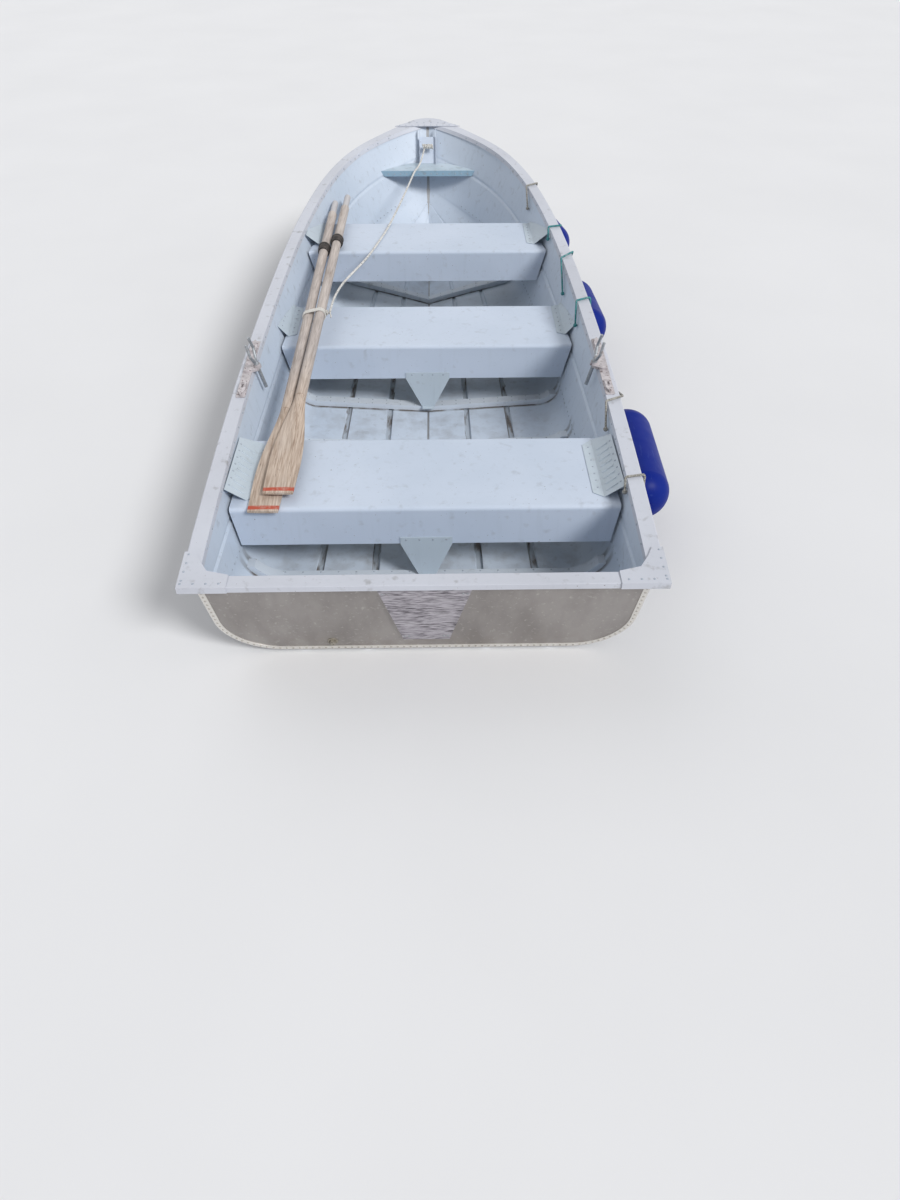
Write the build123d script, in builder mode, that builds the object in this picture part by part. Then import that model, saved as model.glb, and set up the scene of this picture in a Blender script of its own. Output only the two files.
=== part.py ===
from build123d import *
import os
from collections import namedtuple
from math import atan2, cos, pi, radians, sin, sqrt, tan

# A riveted aluminium rowing boat of 12 feet, in millimetres.
# X points to starboard, Y forward and Z up. The origin is on the centreline, at the foot
# of the transom, on the ground that the pressed runners and the keel stand on.

os.makedirs("parts", exist_ok=True)


def save(builder, name):
    """Label a finished piece and write it to its own file."""
    builder.part.label = name
    export_step(builder.part, f"parts/{name}.step")


# Hull
hull_length = 3112.0       # from the transom's foot to where the stem's line meets the ground
half_beam = 668.0          # widest half breadth of the skin, at its top edge
transom_height = 380.0
bow_height = 645.0
runner_depth = 10.0        # how far the pressed runners and the keel stand below the skin
sheet = 2.0                # skin thickness
lap_gap = 0.5              # sealant between lapped sheets
lap_width = 22.0           # overlap of bottom and side above the bilge
lap_clear = 2.0            # the side sheet starts this far above the bilge's arc
bead_depth = 5.0           # one bead is pressed outwards along each side
bead_share = 0.52          # where it runs, as a share of the side's height
bead_rise = 26.0
fit = 0.4                  # clearance between pieces that seat on each other
transom_sheet = 3.0

# Keel profile: straight, then a long rocker arc, a tight forefoot arc and the straight stem
stem_lean = 32.0
rocker_radius = 1700.0
rocker_turn = 11.0
forefoot_radius = 340.0
keel_width = 24.0

# Each hull station is a flat plane right across the boat.
#   foot: where the plane meets the ground, as a share of hull_length
#   lean: how far its top leans forward, in degrees
#   chine_half, chine_up: the corner where bottom and side would meet, as shares of
#       half_beam and bow_height
#   bilge: radius that rounds this corner, as a share of half_beam
#   sheer_half: half breadth at the top edge, as a share of half_beam
#   sheer_up: 0 at the height of the transom and 1 at the height of the bow
Station = namedtuple("Station", "foot lean chine_half chine_up bilge sheer_half sheer_up")
station_table = [
    Station(0.000, -14.0, 0.958, 0.000, 0.280, 0.982, 0.000),
    Station(0.193, -6.0, 0.910, 0.010, 0.200, 1.000, 0.095),
    Station(0.386, 0.0, 0.865, 0.040, 0.157, 0.993, 0.200),
    Station(0.578, 5.0, 0.814, 0.085, 0.142, 0.958, 0.310),
    Station(0.738, 10.0, 0.737, 0.150, 0.135, 0.886, 0.470),
    Station(0.866, 16.0, 0.611, 0.232, 0.127, 0.756, 0.650),
    Station(0.9415, 22.0, 0.457, 0.310, 0.120, 0.566, 0.800),
    Station(0.985, 28.0, 0.254, 0.400, 0.105, 0.300, 0.905),
    Station(1.000, stem_lean, 0.018, 0.520, 0.090, 0.018, 1.000),
]


def halfway(a, b, c, d):
    """The four-point rule: a fair value midway between b and c."""
    return Station(*((9 * (q + r) - p - s) / 16 for p, q, r, s in zip(a, b, c, d)))


def near_end(a, b, c):
    """The same at an end of the table, between a and b."""
    return Station(*((3 * p + 6 * q - r) / 8 for p, q, r in zip(a, b, c)))


# One more station midway between each two, so that the loft stays fair
stations = []
last = len(station_table) - 1
for i, row in enumerate(station_table):
    stations.append(row)
    if i == 0:
        stations.append(near_end(*station_table[:3]))
    elif i == last - 1:
        stations.append(near_end(*reversed(station_table[-3:])))
    elif i < last:
        stations.append(halfway(*station_table[i - 1:i + 3]))
transom_station = stations[0]
stem_station = stations[-1]

# Corners of the keel's profile in the plane of symmetry, as (forward, up)
rocker = radians(rocker_turn)
rake = radians(90 - stem_lean)
rocker_rise = rocker_radius * (1 - cos(rocker))
forefoot_rise = forefoot_radius * (cos(rocker) - cos(rake))
forefoot_run = forefoot_radius * (sin(rake) - sin(rocker))
stem_foot_up = runner_depth + rocker_rise + forefoot_rise
stem_foot = hull_length + stem_foot_up * tan(radians(stem_lean))
rocker_end = stem_foot - forefoot_run
rocker_start = rocker_end - rocker_radius * sin(rocker)


def keel_height(y):
    """Height of the skin's centreline at a distance forward of the transom's foot."""
    if y <= rocker_start:
        return runner_depth
    if y <= rocker_end:
        return runner_depth + rocker_radius - sqrt(rocker_radius**2 - (y - rocker_start) ** 2)
    centre_y = rocker_end - forefoot_radius * sin(rocker)
    centre_z = runner_depth + rocker_rise + forefoot_radius * cos(rocker)
    reach = min(y - centre_y, forefoot_radius * sin(rake))
    return centre_z - sqrt(forefoot_radius**2 - reach**2)


def keel_at(st):
    """Where a station's plane crosses the keel's profile, by halving the interval."""
    if st is stem_station:
        return stem_foot_up
    low, high = 0.0, stem_foot_up
    for _ in range(40):
        middle = (low + high) / 2
        if keel_height(st.foot * hull_length + middle * tan(radians(st.lean))) > middle:
            low = middle
        else:
            high = middle
    return middle


def station_plane(st, shift=0):
    """The plane of a station, moved forward by shift. Its upward direction follows the lean."""
    lean = radians(st.lean)
    origin = (0, st.foot * hull_length + shift, 0)
    return Plane(origin=origin, x_dir=(1, 0, 0), z_dir=(0, -cos(lean), sin(lean)))


def up(st, height):
    """A true height, measured along the leaning plane."""
    return height / cos(radians(st.lean))


def sheer_height(st):
    return transom_height + st.sheer_up * (bow_height - transom_height)


def sheer_place(st):
    """How far forward a station's top edge lies."""
    return st.foot * hull_length + sheer_height(st) * tan(radians(st.lean))


class Outline:
    """Corners and directions of a station's skin line, in its own plane."""

    def __init__(self, st):
        self.st = st
        self.keel = Vector(0, up(st, keel_at(st)))
        self.chine = Vector(st.chine_half * half_beam, up(st, runner_depth + st.chine_up * bow_height))
        self.sheer = Vector(st.sheer_half * half_beam, up(st, sheer_height(st)))
        self.along_bottom = (self.chine - self.keel).normalized()
        self.along_side = (self.sheer - self.chine).normalized()
        self.off_bottom = Vector(self.along_bottom.Y, -self.along_bottom.X)
        self.off_side = Vector(self.along_side.Y, -self.along_side.X)
        self.radius = st.bilge * half_beam
        turn = self.along_bottom.get_angle(self.along_side)
        self.bilge_run = self.radius * tan(radians(turn) / 2)
        self.bottom_length = (self.chine - self.keel).length

    def moved_keel(self, inset):
        return self.keel + Vector(0, inset / self.along_bottom.X)

    def moved_chine(self, inset):
        bend = 1 + self.off_bottom.dot(self.off_side)
        return self.chine - (self.off_bottom + self.off_side) * (inset / bend)

    def moved_sheer(self, inset):
        return self.sheer - self.off_side * inset


outlines = [Outline(st) for st in stations]
full_bottom = outlines[0].bottom_length

# Pressed runners in the bottom, at these shares of the way from keel to chine
runner_shares = (0.30, 0.62)
runner_mouth = 30.0
runner_floor = 16.0
keel_slot = 5.0            # each bottom sheet stops this far from the centreline


def bottom_section(line):
    """The bottom sheet, from the keel over both runners and round the bilge to its lap."""
    scale = line.bottom_length / full_bottom
    sides = []
    for inset in (0, sheet):
        start = line.keel - line.off_bottom * inset
        points = [line.moved_keel(inset) + line.along_bottom * (keel_slot * scale)]
        for share in runner_shares:
            middle = start + line.along_bottom * (share * line.bottom_length)
            mouth = line.along_bottom * (runner_mouth / 2 * scale)
            floor = line.along_bottom * (runner_floor / 2 * scale)
            drop = line.off_bottom * (runner_depth * scale)
            points += [middle - mouth, middle - floor + drop, middle + floor + drop, middle + mouth]
        lap_end = line.chine + line.along_side * (line.bilge_run + lap_width) - line.off_side * inset
        sides.append((points, line.moved_chine(inset), lap_end))
    (outer, outer_chine, outer_end), (inner, inner_chine, inner_end) = sides
    with BuildSketch(station_plane(line.st)) as section:
        with BuildLine():
            Polyline(*outer)
            FilletPolyline(outer[-1], outer_chine, outer_end, radius=line.radius)
            Line(outer_end, inner_end)
            FilletPolyline(inner_end, inner_chine, inner[-1], radius=line.radius - sheet)
            Polyline(*reversed(inner))
            Line(inner[0], outer[0])
        make_face()
    return section.sketch


def side_section(line):
    """The side sheet, inside the bottom's lap, with one bead pressed outwards along it."""
    low = line.chine + line.along_side * (line.bilge_run + lap_clear)
    bead = low + (line.sheer - low) * bead_share
    half_rise = line.along_side * (bead_rise / 2)
    faces = []
    for inset in (sheet + lap_gap, 2 * sheet + lap_gap):
        shift = line.off_side * -inset
        crest = bead + shift + line.off_side * bead_depth
        level_top = line.sheer + shift - line.along_side * (shift.Y / line.along_side.Y)
        faces.append([low + shift, bead + shift - half_rise, crest, bead + shift + half_rise,
                      level_top])
    with BuildSketch(station_plane(line.st)) as section:
        with BuildLine():
            Polyline(*faces[0], *reversed(faces[1]), close=True)
        make_face()
    return section.sketch


def block_section(line, inset):
    """Half of the space inside the hull, up to the sheer."""
    sheer = line.moved_sheer(inset)
    keel = line.moved_keel(inset)
    with BuildSketch(station_plane(line.st)) as section:
        with BuildLine():
            FilletPolyline(keel, line.moved_chine(inset), sheer, radius=line.radius - inset)
            Polyline(sheer, (0, sheer.Y), keel)
        make_face()
    return section.sketch


def hull_space(inset):
    """The solid that fills the hull up to the sheer, inside its skin line by inset."""
    with BuildPart() as space:
        for line in outlines:
            if line.chine.X > 3 * inset:
                add(block_section(line, inset))
        loft()
        mirror(about=Plane.YZ)
    return space.part


def both_sides(builder, starboard_name, port_name):
    """Save a starboard piece and its mirrored port twin."""
    save(builder, starboard_name)
    with BuildPart() as twin:
        add(mirror(builder.part, about=Plane.YZ))
    save(twin, port_name)


with BuildPart() as bottom_starboard:
    for line in outlines:
        add(bottom_section(line))
    loft()
both_sides(bottom_starboard, "bottom_starboard", "bottom_port")

with BuildPart() as side_starboard:
    for line in outlines:
        add(side_section(line))
    loft()
both_sides(side_starboard, "side_starboard", "side_port")

# The room inside both sheets, which trims what is fitted to the sides
cabin = hull_space(2 * sheet + lap_gap + 2 * fit)


def at_height(line, height):
    """Where a station's side passes a height: (how far forward, half breadth)."""
    rise = (up(line.st, height) - line.chine.Y) / line.along_side.Y
    across = line.chine.X + line.along_side.X * rise
    return line.st.foot * hull_length + height * tan(radians(line.st.lean)), across


def between(places, y):
    """Straight-line value at y from a list of (y, value), with the slope there."""
    for (y0, v0), (y1, v1) in zip(places, places[1:]):
        if y <= y1 or (y1, v1) == places[-1]:
            slope = (v1 - v0) / (y1 - y0)
            return v0 + slope * (y - y0), slope


def half_breadth(y, height):
    """Half breadth of the skin line at a place on the side, with its slope in plan."""
    return between([at_height(line, height) for line in outlines], y)


def sheer_at(y):
    """Height of the sheer at y, with its slope."""
    return between([(sheer_place(line.st), sheer_height(line.st)) for line in outlines], y)


def sheer_half_at(y):
    return between([(sheer_place(line.st), line.sheer.X) for line in outlines], y)


# Keel strip and stem band: one profile of lines and arcs, cut where the forefoot starts
forefoot_y = rocker_end - forefoot_radius * sin(rocker)
forefoot_z = runner_depth + rocker_rise + forefoot_radius * cos(rocker)


def profile_points(out):
    """Ends and arc middles of the centreline's profile, moved outwards by out."""
    def on_arc(y, z, radius, turn):
        return y + (radius + out) * sin(turn), z - (radius + out) * cos(turn)

    rocker_z = runner_depth + rocker_radius
    stem_out = (out * cos(radians(stem_lean)), -out * sin(radians(stem_lean)))
    head = (hull_length + stem_head * tan(radians(stem_lean)) + stem_out[0], stem_head + stem_out[1])
    return (
        (0, runner_depth - out),
        (rocker_start, runner_depth - out),
        on_arc(rocker_start, rocker_z, rocker_radius, rocker / 2),
        on_arc(rocker_start, rocker_z, rocker_radius, rocker),
        on_arc(forefoot_y, forefoot_z, forefoot_radius, (rocker + rake) / 2),
        on_arc(forefoot_y, forefoot_z, forefoot_radius, rake),
        head,
    )


stem_head = bow_height - 6
inner_path = profile_points(fit)
outer_path = profile_points(runner_depth)
with BuildPart() as keel_strip:
    with BuildSketch(Plane.YZ):
        with BuildLine():
            Line(inner_path[0], inner_path[1])
            ThreePointArc(*inner_path[1:4])
            Line(inner_path[3], outer_path[3])
            ThreePointArc(*reversed(outer_path[1:4]))
            Line(outer_path[1], outer_path[0])
            Line(outer_path[0], inner_path[0])
        make_face()
    extrude(amount=keel_width / 2, both=True)
save(keel_strip, "keel_strip")

with BuildPart() as stem_band:
    with BuildSketch(Plane.YZ):
        with BuildLine():
            ThreePointArc(*inner_path[3:6])
            Line(inner_path[5], inner_path[6])
            Line(inner_path[6], outer_path[6])
            Line(outer_path[6], outer_path[5])
            ThreePointArc(*reversed(outer_path[3:6]))
            Line(outer_path[3], inner_path[3])
        make_face()
    extrude(amount=keel_width / 2, both=True)
save(stem_band, "stem_band")

# Bow eye: a drilled lug on the stem, where a winch strap hooks on
eye_height = 360.0
eye_radius = 20.0
eye_bore = 8.0
eye_thick = 10.0
eye_reach = 26.0
stem_off = (cos(radians(stem_lean)), -sin(radians(stem_lean)))
eye_foot = (hull_length + eye_height * tan(radians(stem_lean)) + stem_off[0] * runner_depth,
            eye_height + stem_off[1] * runner_depth)
eye_side = Plane(origin=(0, *eye_foot), x_dir=(0, *stem_off), z_dir=(1, 0, 0))
with BuildPart() as bow_eye:
    with BuildSketch(eye_side):
        with BuildLine():
            Line((0, -eye_radius), (eye_reach, -eye_radius))
            RadiusArc((eye_reach, -eye_radius), (eye_reach, eye_radius), -eye_radius)
            Line((eye_reach, eye_radius), (0, eye_radius))
            Line((0, eye_radius), (0, -eye_radius))
        make_face()
        with Locations((eye_reach, 0)):
            Circle(eye_bore, mode=Mode.SUBTRACT)
    extrude(amount=eye_thick / 2, both=True)
save(bow_eye, "bow_eye")

# Transom sheet with its riveted edge strip
edge_strip = 17.0
edge_drop = 24.0            # the strip stops below the cap
edge_thick = 1.6
transom_plane = station_plane(transom_station)


def transom_outline(inset, rise):
    """The hull's outline across the transom, as a wire, with its ends raised by rise."""
    sheer = outlines[0].moved_sheer(inset) + Vector(0, rise)
    chine = outlines[0].moved_chine(inset)
    corners = [(-sheer.X, sheer.Y), (-chine.X, chine.Y), (chine.X, chine.Y), (sheer.X, sheer.Y)]
    FilletPolyline(*corners, radius=outlines[0].radius - inset)
    Line(corners[-1], corners[0])


with BuildPart() as transom:
    with BuildSketch(transom_plane):
        with BuildLine():
            transom_outline(0, 0)
        make_face()
    extrude(amount=transom_sheet)
save(transom, "transom")

with BuildPart() as transom_edge:
    with BuildSketch(transom_plane.offset(transom_sheet)):
        with BuildLine():
            transom_outline(0, -edge_drop)
        make_face()
        with BuildLine():
            transom_outline(edge_strip, edge_strip)
        make_face(mode=Mode.SUBTRACT)
    extrude(amount=edge_thick)
save(transom_edge, "transom_edge")

# Gunwales: an extrusion over the sheer with a rolled outer lip
rail_reach = 44.0          # how far it stands outboard of the skin
rail_wall = 3.0
rail_leg = 18.0
rail_lip = 17.0
rail_round = 5.0
rail_inner = 2 * sheet + lap_gap + 0.8
rail_top = fit + rail_wall

sheer_line = [(sheer_place(line.st), line.sheer.X) for line in outlines]


def plan_stretch(i):
    """How much wider the rail is when cut straight across, where the sheer runs inboard."""
    before, after = sheer_line[max(i - 1, 0)], sheer_line[min(i + 1, len(sheer_line) - 1)]
    slope = (after[1] - before[1]) / (after[0] - before[0])
    return sqrt(1 + slope**2)


def rail_section(i):
    line = outlines[i]
    stretch = plan_stretch(i)
    reach = rail_reach * stretch
    wall = rail_wall * stretch
    x, y = line.sheer.X, line.sheer.Y
    inner = max(-(rail_inner + rail_wall) * stretch, fit - x)
    inner_wall = min(wall, -inner - rail_inner)
    leg_x = -line.along_side.X * rail_leg
    leg_y = -line.along_side.Y * rail_leg
    under = y + fit
    top = y + rail_top
    with BuildSketch(station_plane(line.st)) as section:
        with BuildLine():
            Polyline((x + inner + leg_x, y + leg_y), (x + inner, top), (x + reach - rail_round, top))
            TangentArc((x + reach - rail_round, top), (x + reach, top - rail_round), tangent=(1, 0))
            Polyline((x + reach, top - rail_round), (x + reach, y - rail_lip),
                     (x + reach - wall, y - rail_lip), (x + reach - wall, under),
                     (x + inner + inner_wall, under), (x + inner + inner_wall + leg_x, y + leg_y),
                     (x + inner + leg_x, y + leg_y))
        make_face()
    return section.sketch


with BuildPart() as gunwale_starboard:
    for i in range(len(outlines)):
        add(rail_section(i))
    loft()
both_sides(gunwale_starboard, "gunwale_starboard", "gunwale_port")

# Transom cap between the corner caps
cap_wall = 3.0
cap_aft = 13.0             # how far its lip stands aft of the transom sheet
cap_forward = 34.0
cap_lip = 20.0
cap_leg = 15.0
corner_reach = 138.0       # corner plates, along the transom from the rail's outer edge
transom_top_y = sheer_place(transom_station)
transom_aft_y = transom_top_y - transom_sheet
cap_top = transom_height + fit + cap_wall
rail_outer = outlines[0].sheer.X + rail_reach
cap_half = outlines[0].sheer.X - rail_inner - rail_wall - 2
with BuildPart() as transom_cap:
    with BuildSketch(Plane.YZ):
        with BuildLine():
            aft, fore = transom_aft_y - cap_aft, transom_top_y + cap_forward
            Polyline((aft, cap_top - cap_lip), (aft, cap_top), (fore, cap_top), (fore, cap_top - cap_leg),
                     (fore - cap_wall, cap_top - cap_leg), (fore - cap_wall, cap_top - cap_wall),
                     (aft + cap_wall, cap_top - cap_wall), (aft + cap_wall, cap_top - cap_lip), close=True)
        make_face()
    extrude(amount=cap_half, both=True)
    fillet(transom_cap.edges().filter_by(Axis.X).group_by(Axis.Z)[-1], radius=2.4)
save(transom_cap, "transom_cap")

# Corner plates over the joints of gunwale and transom
corner_thick = 3.0
corner_run = 150.0         # forward along the rail
corner_lip = 20.0
corner_hollow = 60.0       # how far the inner edge is cut back
corner_gap = 1.4
corner_slope = sheer_at(transom_top_y + corner_run)[1]
rail_drift = sheer_half_at(transom_top_y + corner_run)[1] * corner_run
corner_plane = Plane(origin=(0, transom_top_y, cap_top + 2 * fit), x_dir=(1, 0, 0),
                     z_dir=(0, -corner_slope, 1))
with BuildPart() as corner_plates:
    out_x = rail_outer + corner_gap
    aft_y = -transom_sheet - cap_aft - corner_gap
    fore_y = aft_y + corner_run
    outer_edge = [(out_x + corner_thick, aft_y - corner_thick),
                  (out_x + corner_thick + rail_drift, fore_y)]
    with BuildSketch(corner_plane):
        with BuildLine():
            Polyline(*outer_edge, (out_x - 26, fore_y), (out_x - 44, aft_y + corner_hollow + 52),
                     (out_x - 72, aft_y + corner_hollow + 8), (out_x - corner_reach, aft_y + 50),
                     (out_x - corner_reach, aft_y - corner_thick), close=True)
        make_face()
    extrude(amount=corner_thick)
    with BuildSketch(corner_plane):
        with BuildLine():
            Polyline(*outer_edge, (out_x + rail_drift, fore_y), (out_x, aft_y),
                     (out_x - corner_reach, aft_y), (out_x - corner_reach, aft_y - corner_thick),
                     close=True)
        make_face()
    extrude(amount=-corner_lip)
    mirror(about=Plane.YZ)
save(corner_plates, "corner_plates")

# Bow cap over the ends of both gunwales
nose_reach = 46.0
cap_back = 36.0
bow_plane_slope = atan2(sheer_height(stations[-1]) - sheer_height(stations[-2]),
                        sheer_place(stations[-1]) - sheer_place(stations[-2]))
bow_lift = rail_top - 0.3  # its plane cuts in just above the rails, which curve away aft
bow_y = sheer_place(stem_station)
bow_plane = Plane(origin=(0, bow_y, bow_height + bow_lift), x_dir=(1, 0, 0),
                  z_dir=(0, -sin(bow_plane_slope), cos(bow_plane_slope)))
bow_outer = outlines[-1].sheer.X + rail_reach * plan_stretch(len(outlines) - 1)
side_slope = (sheer_line[-2][1] - sheer_line[-1][1]) / (sheer_line[-1][0] - sheer_line[-2][0])
back_half = bow_outer + cap_back * side_slope
nose_lip = 24.0
nose_wall = 3.0


def nose_outline(shrink):
    """Plan of the bow cap: straight across the back, then round the stem head."""
    back, front = back_half - shrink, bow_outer + 6 - shrink
    Polyline((-front, 0), (-back, -cap_back), (back, -cap_back), (front, 0))
    ThreePointArc((front, 0), (0, nose_reach - shrink), (-front, 0))


with BuildPart() as bow_cap:
    with BuildSketch(bow_plane):
        with BuildLine():
            nose_outline(0)
        make_face()
    extrude(amount=nose_wall)
    with BuildSketch(bow_plane):
        with BuildLine():
            nose_outline(0)
        make_face()
        with BuildLine():
            nose_outline(nose_wall)
        make_face(mode=Mode.SUBTRACT)
        with Locations((0, -cap_back)):
            Rectangle(4 * back_half, 2 * cap_back, mode=Mode.SUBTRACT)
    extrude(amount=-nose_lip)
save(bow_cap, "bow_cap")

# Bow shelf with a down-turned lip, fitted to the hull
shelf_height = 475.0
shelf_aft = 3235.0
shelf_thick = 3.0
shelf_lip = 28.0
post_back = 34.0           # the post's web stands this far inside the stem's line
with BuildPart() as bow_shelf:
    with BuildSketch(Plane.XY.offset(shelf_height - shelf_thick)):
        with Locations((0, shelf_aft)):
            Rectangle(2 * half_beam, 600, align=(Align.CENTER, Align.MIN))
    extrude(amount=shelf_thick)
    with BuildSketch(Plane.XY.offset(shelf_height)):
        with Locations((0, shelf_aft)):
            Rectangle(2 * half_beam, shelf_thick, align=(Align.CENTER, Align.MIN))
    extrude(amount=-shelf_lip)
    add(cabin, mode=Mode.INTERSECT)
save(bow_shelf, "bow_shelf")

# Bow post: a channel, open aft, along the inside of the stem from shelf to cap
post_width = 96.0
post_depth = 24.0
post_wall = 3.0
post_low = shelf_height + fit
post_high = bow_height - 8.0
post_along = Vector(0, sin(radians(stem_lean)), cos(radians(stem_lean)))
post_foot_y = hull_length - post_back + post_low * tan(radians(stem_lean))
with BuildPart() as bow_post:
    with BuildSketch(Plane(origin=(0, post_foot_y, post_low), x_dir=(1, 0, 0), z_dir=(0, 0, 1))):
        with BuildLine():
            half = post_width / 2
            Polyline((-half, -post_depth), (-half, 0), (half, 0), (half, -post_depth),
                     (half - post_wall, -post_depth), (half - post_wall, -post_wall),
                     (-half + post_wall, -post_wall), (-half + post_wall, -post_depth), close=True)
        make_face()
    extrude(amount=(post_high - post_low) / cos(radians(stem_lean)), dir=tuple(post_along))
    add(cabin, mode=Mode.INTERSECT)
save(bow_post, "bow_post")

# Floor ribs across the bottom, with their ends turned up at the bilge
rib_places = (320.0, 765.0, 1130.0, 1455.0, 1850.0, 2200.0, 2560.0, 2860.0)
rib_width = 44.0
rib_height = 22.0
rib_reach = 0.60           # how far up the bilge a rib turns, as a share of the bilge's run


def at_station(y, values):
    """Straight-line value at y from one value for each station's foot."""
    return between([(line.st.foot * hull_length, v) for line, v in zip(outlines, values)], y)[0]


chine_heights = [runner_depth + line.st.chine_up * bow_height for line in outlines]
bilge_runs = [line.bilge_run * line.along_side.Y for line in outlines]
floor_space = hull_space(sheet + fit)
above_ribs = hull_space(sheet + fit + rib_height)
with BuildPart() as floor_ribs:
    for y in rib_places:
        rib_top = at_station(y, chine_heights) + rib_reach * at_station(y, bilge_runs)
        with Locations((0, y, rib_top / 2)):
            Box(2 * half_beam, rib_width, rib_top)
    add(floor_space, mode=Mode.INTERSECT)
    add(above_ribs, mode=Mode.SUBTRACT)
save(floor_ribs, "floor_ribs")

# Thwarts: folded sheet seats, open below, with their ends clear of the sides
#   aft: aft face, forward of the transom's foot; depth: fore and aft; top: height of the seat
Thwart = namedtuple("Thwart", "name aft depth top face")
thwarts = [
    Thwart("aft", 319.0, 412.0, 326.0, 150.0),
    Thwart("mid", 1431.0, 390.0, 326.0, 150.0),
    Thwart("front", 2216.0, 380.0, 418.0, 145.0),
]
seat_sheet = 2.5
seat_round = 14.0
seat_hem = 22.0            # the faces turn in below by this much
seat_clear = 42.0          # from the skin line to the seat's end
seat_space = hull_space(seat_clear)


def seat_profile(seat, shrink):
    """Side view of a seat's box, rounded at both upper edges."""
    y0, y1 = seat.aft + shrink, seat.aft + seat.depth - shrink
    z0, z1 = seat.top - seat.face, seat.top - shrink
    FilletPolyline((y0, z0), (y0, z1), (y1, z1), (y1, z0), radius=seat_round - shrink)
    Line((y1, z0), (y0, z0))


for seat in thwarts:
    with BuildPart() as bench:
        with BuildSketch(Plane.YZ):
            with BuildLine():
                seat_profile(seat, 0)
            make_face()
        extrude(amount=half_beam, both=True)
        with BuildSketch(Plane.YZ):
            with BuildLine():
                seat_profile(seat, seat_sheet)
            make_face()
        extrude(amount=half_beam, both=True, mode=Mode.SUBTRACT)
        with BuildSketch(Plane.YZ):
            for edge, align in ((seat.aft, Align.MIN), (seat.aft + seat.depth, Align.MAX)):
                with Locations((edge, seat.top - seat.face)):
                    Rectangle(seat_hem, seat_sheet, align=(align, Align.MIN))
        extrude(amount=half_beam, both=True)
        add(seat_space, mode=Mode.INTERSECT)
    save(bench, f"thwart_{seat.name}")

# Buoyancy foam under each seat
foam_end = 96.0            # from the skin line to the foam's end, at its lower edge
with BuildPart() as seat_foam:
    for seat in thwarts:
        low = seat.top - seat.face + seat_sheet + fit
        high = seat.top - seat_sheet - fit
        aft, fore = seat.aft + seat_sheet + fit, seat.aft + seat.depth - seat_sheet - fit
        aft_half, fore_half = (half_breadth(y, low)[0] - foam_end for y in (aft, fore))
        with BuildSketch(Plane.XY.offset(low)):
            with BuildLine():
                Polyline((-aft_half, aft), (aft_half, aft), (fore_half, fore), (-fore_half, fore), close=True)
            make_face()
        extrude(amount=high - low)
        upper = seat_foam.edges(Select.LAST).filter_by(Axis.X).group_by(Axis.Z)[-1]
        fillet(upper, radius=seat_round)
save(seat_foam, "seat_foam")


# End brackets: plates riveted to the seat's top that slope up to the hull's sides
#   fold_x: the fold between the flat part and the slope, off the centreline
#   rise and run: slope and breadth of the raised part
#   foot, fold and outer: (aft, fore) ends of three edges, forward of the seat's aft face
Bracket = namedtuple("Bracket", "seat fold_x rise run foot fold outer ridges")
brackets = [
    Bracket(0, 592.0, 0.86, 61.0, (72.0, 353.0), (49.0, 386.0), (39.0, 343.0), 8),
    Bracket(1, 598.0, 1.50, 80.0, (112.0, 370.0), (96.0, 384.0), (58.0, 338.0), 0),
    Bracket(2, 524.0, 0.92, 62.5, (96.0, 352.0), (80.0, 360.0), (60.0, 330.0), 0),
]
bracket_sheet = 2.5
bracket_foot = 34.0        # width of the flat part on the seat
ridge_width = 9.0
ridge_height = 3.5
ridge_length = 46.0
ridge_out = 36.0           # from the fold to the ridges' middle


def bracket_part(bracket):
    """One bracket each side of a seat, trimmed to the hull."""
    seat = thwarts[bracket.seat]
    z0 = seat.top + fit
    fold_x = bracket.fold_x
    far_x = fold_x + bracket.run
    rise = bracket.run * bracket.rise
    edges = ((fold_x - bracket_foot, bracket.foot), (fold_x, bracket.fold),
             (far_x, bracket.outer))
    with BuildPart() as plates:
        with BuildSketch(Plane.XZ.offset(-seat.aft)):
            with BuildLine():
                Polyline((0, z0), (fold_x, z0), (far_x, z0 + rise), (far_x, z0 + rise + bracket_sheet),
                         (fold_x, z0 + bracket_sheet), (0, z0 + bracket_sheet), close=True)
            make_face()
        extrude(amount=-seat.depth)
        if bracket.ridges:
            middle_y = seat.aft + sum(bracket.outer) / 2
            pitch = (bracket.outer[1] - bracket.outer[0]) / (bracket.ridges + 1)
            slope = Plane(origin=(fold_x, middle_y, z0 + bracket_sheet), x_dir=(1, 0, bracket.rise),
                          z_dir=(-bracket.rise, 0, 1))
            with BuildSketch(slope):
                with GridLocations(1, pitch, 1, bracket.ridges):
                    with Locations((ridge_out, 0)):
                        Rectangle(ridge_length, ridge_width)
            extrude(amount=ridge_height, taper=24)
        with BuildSketch(Plane.XY.offset(z0)):
            with BuildLine():
                Polyline(*[(x, seat.aft + ends[0]) for x, ends in edges],
                         *[(x, seat.aft + ends[1]) for x, ends in reversed(edges)], close=True)
            make_face()
        extrude(amount=rise + 2 * bracket_sheet, mode=Mode.INTERSECT)
        mirror(about=Plane.YZ)
        add(cabin, mode=Mode.INTERSECT)
    return plates


for bracket in brackets:
    seat_brackets = bracket_part(bracket)
    save(seat_brackets, f"brackets_{thwarts[bracket.seat].name}")

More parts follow.
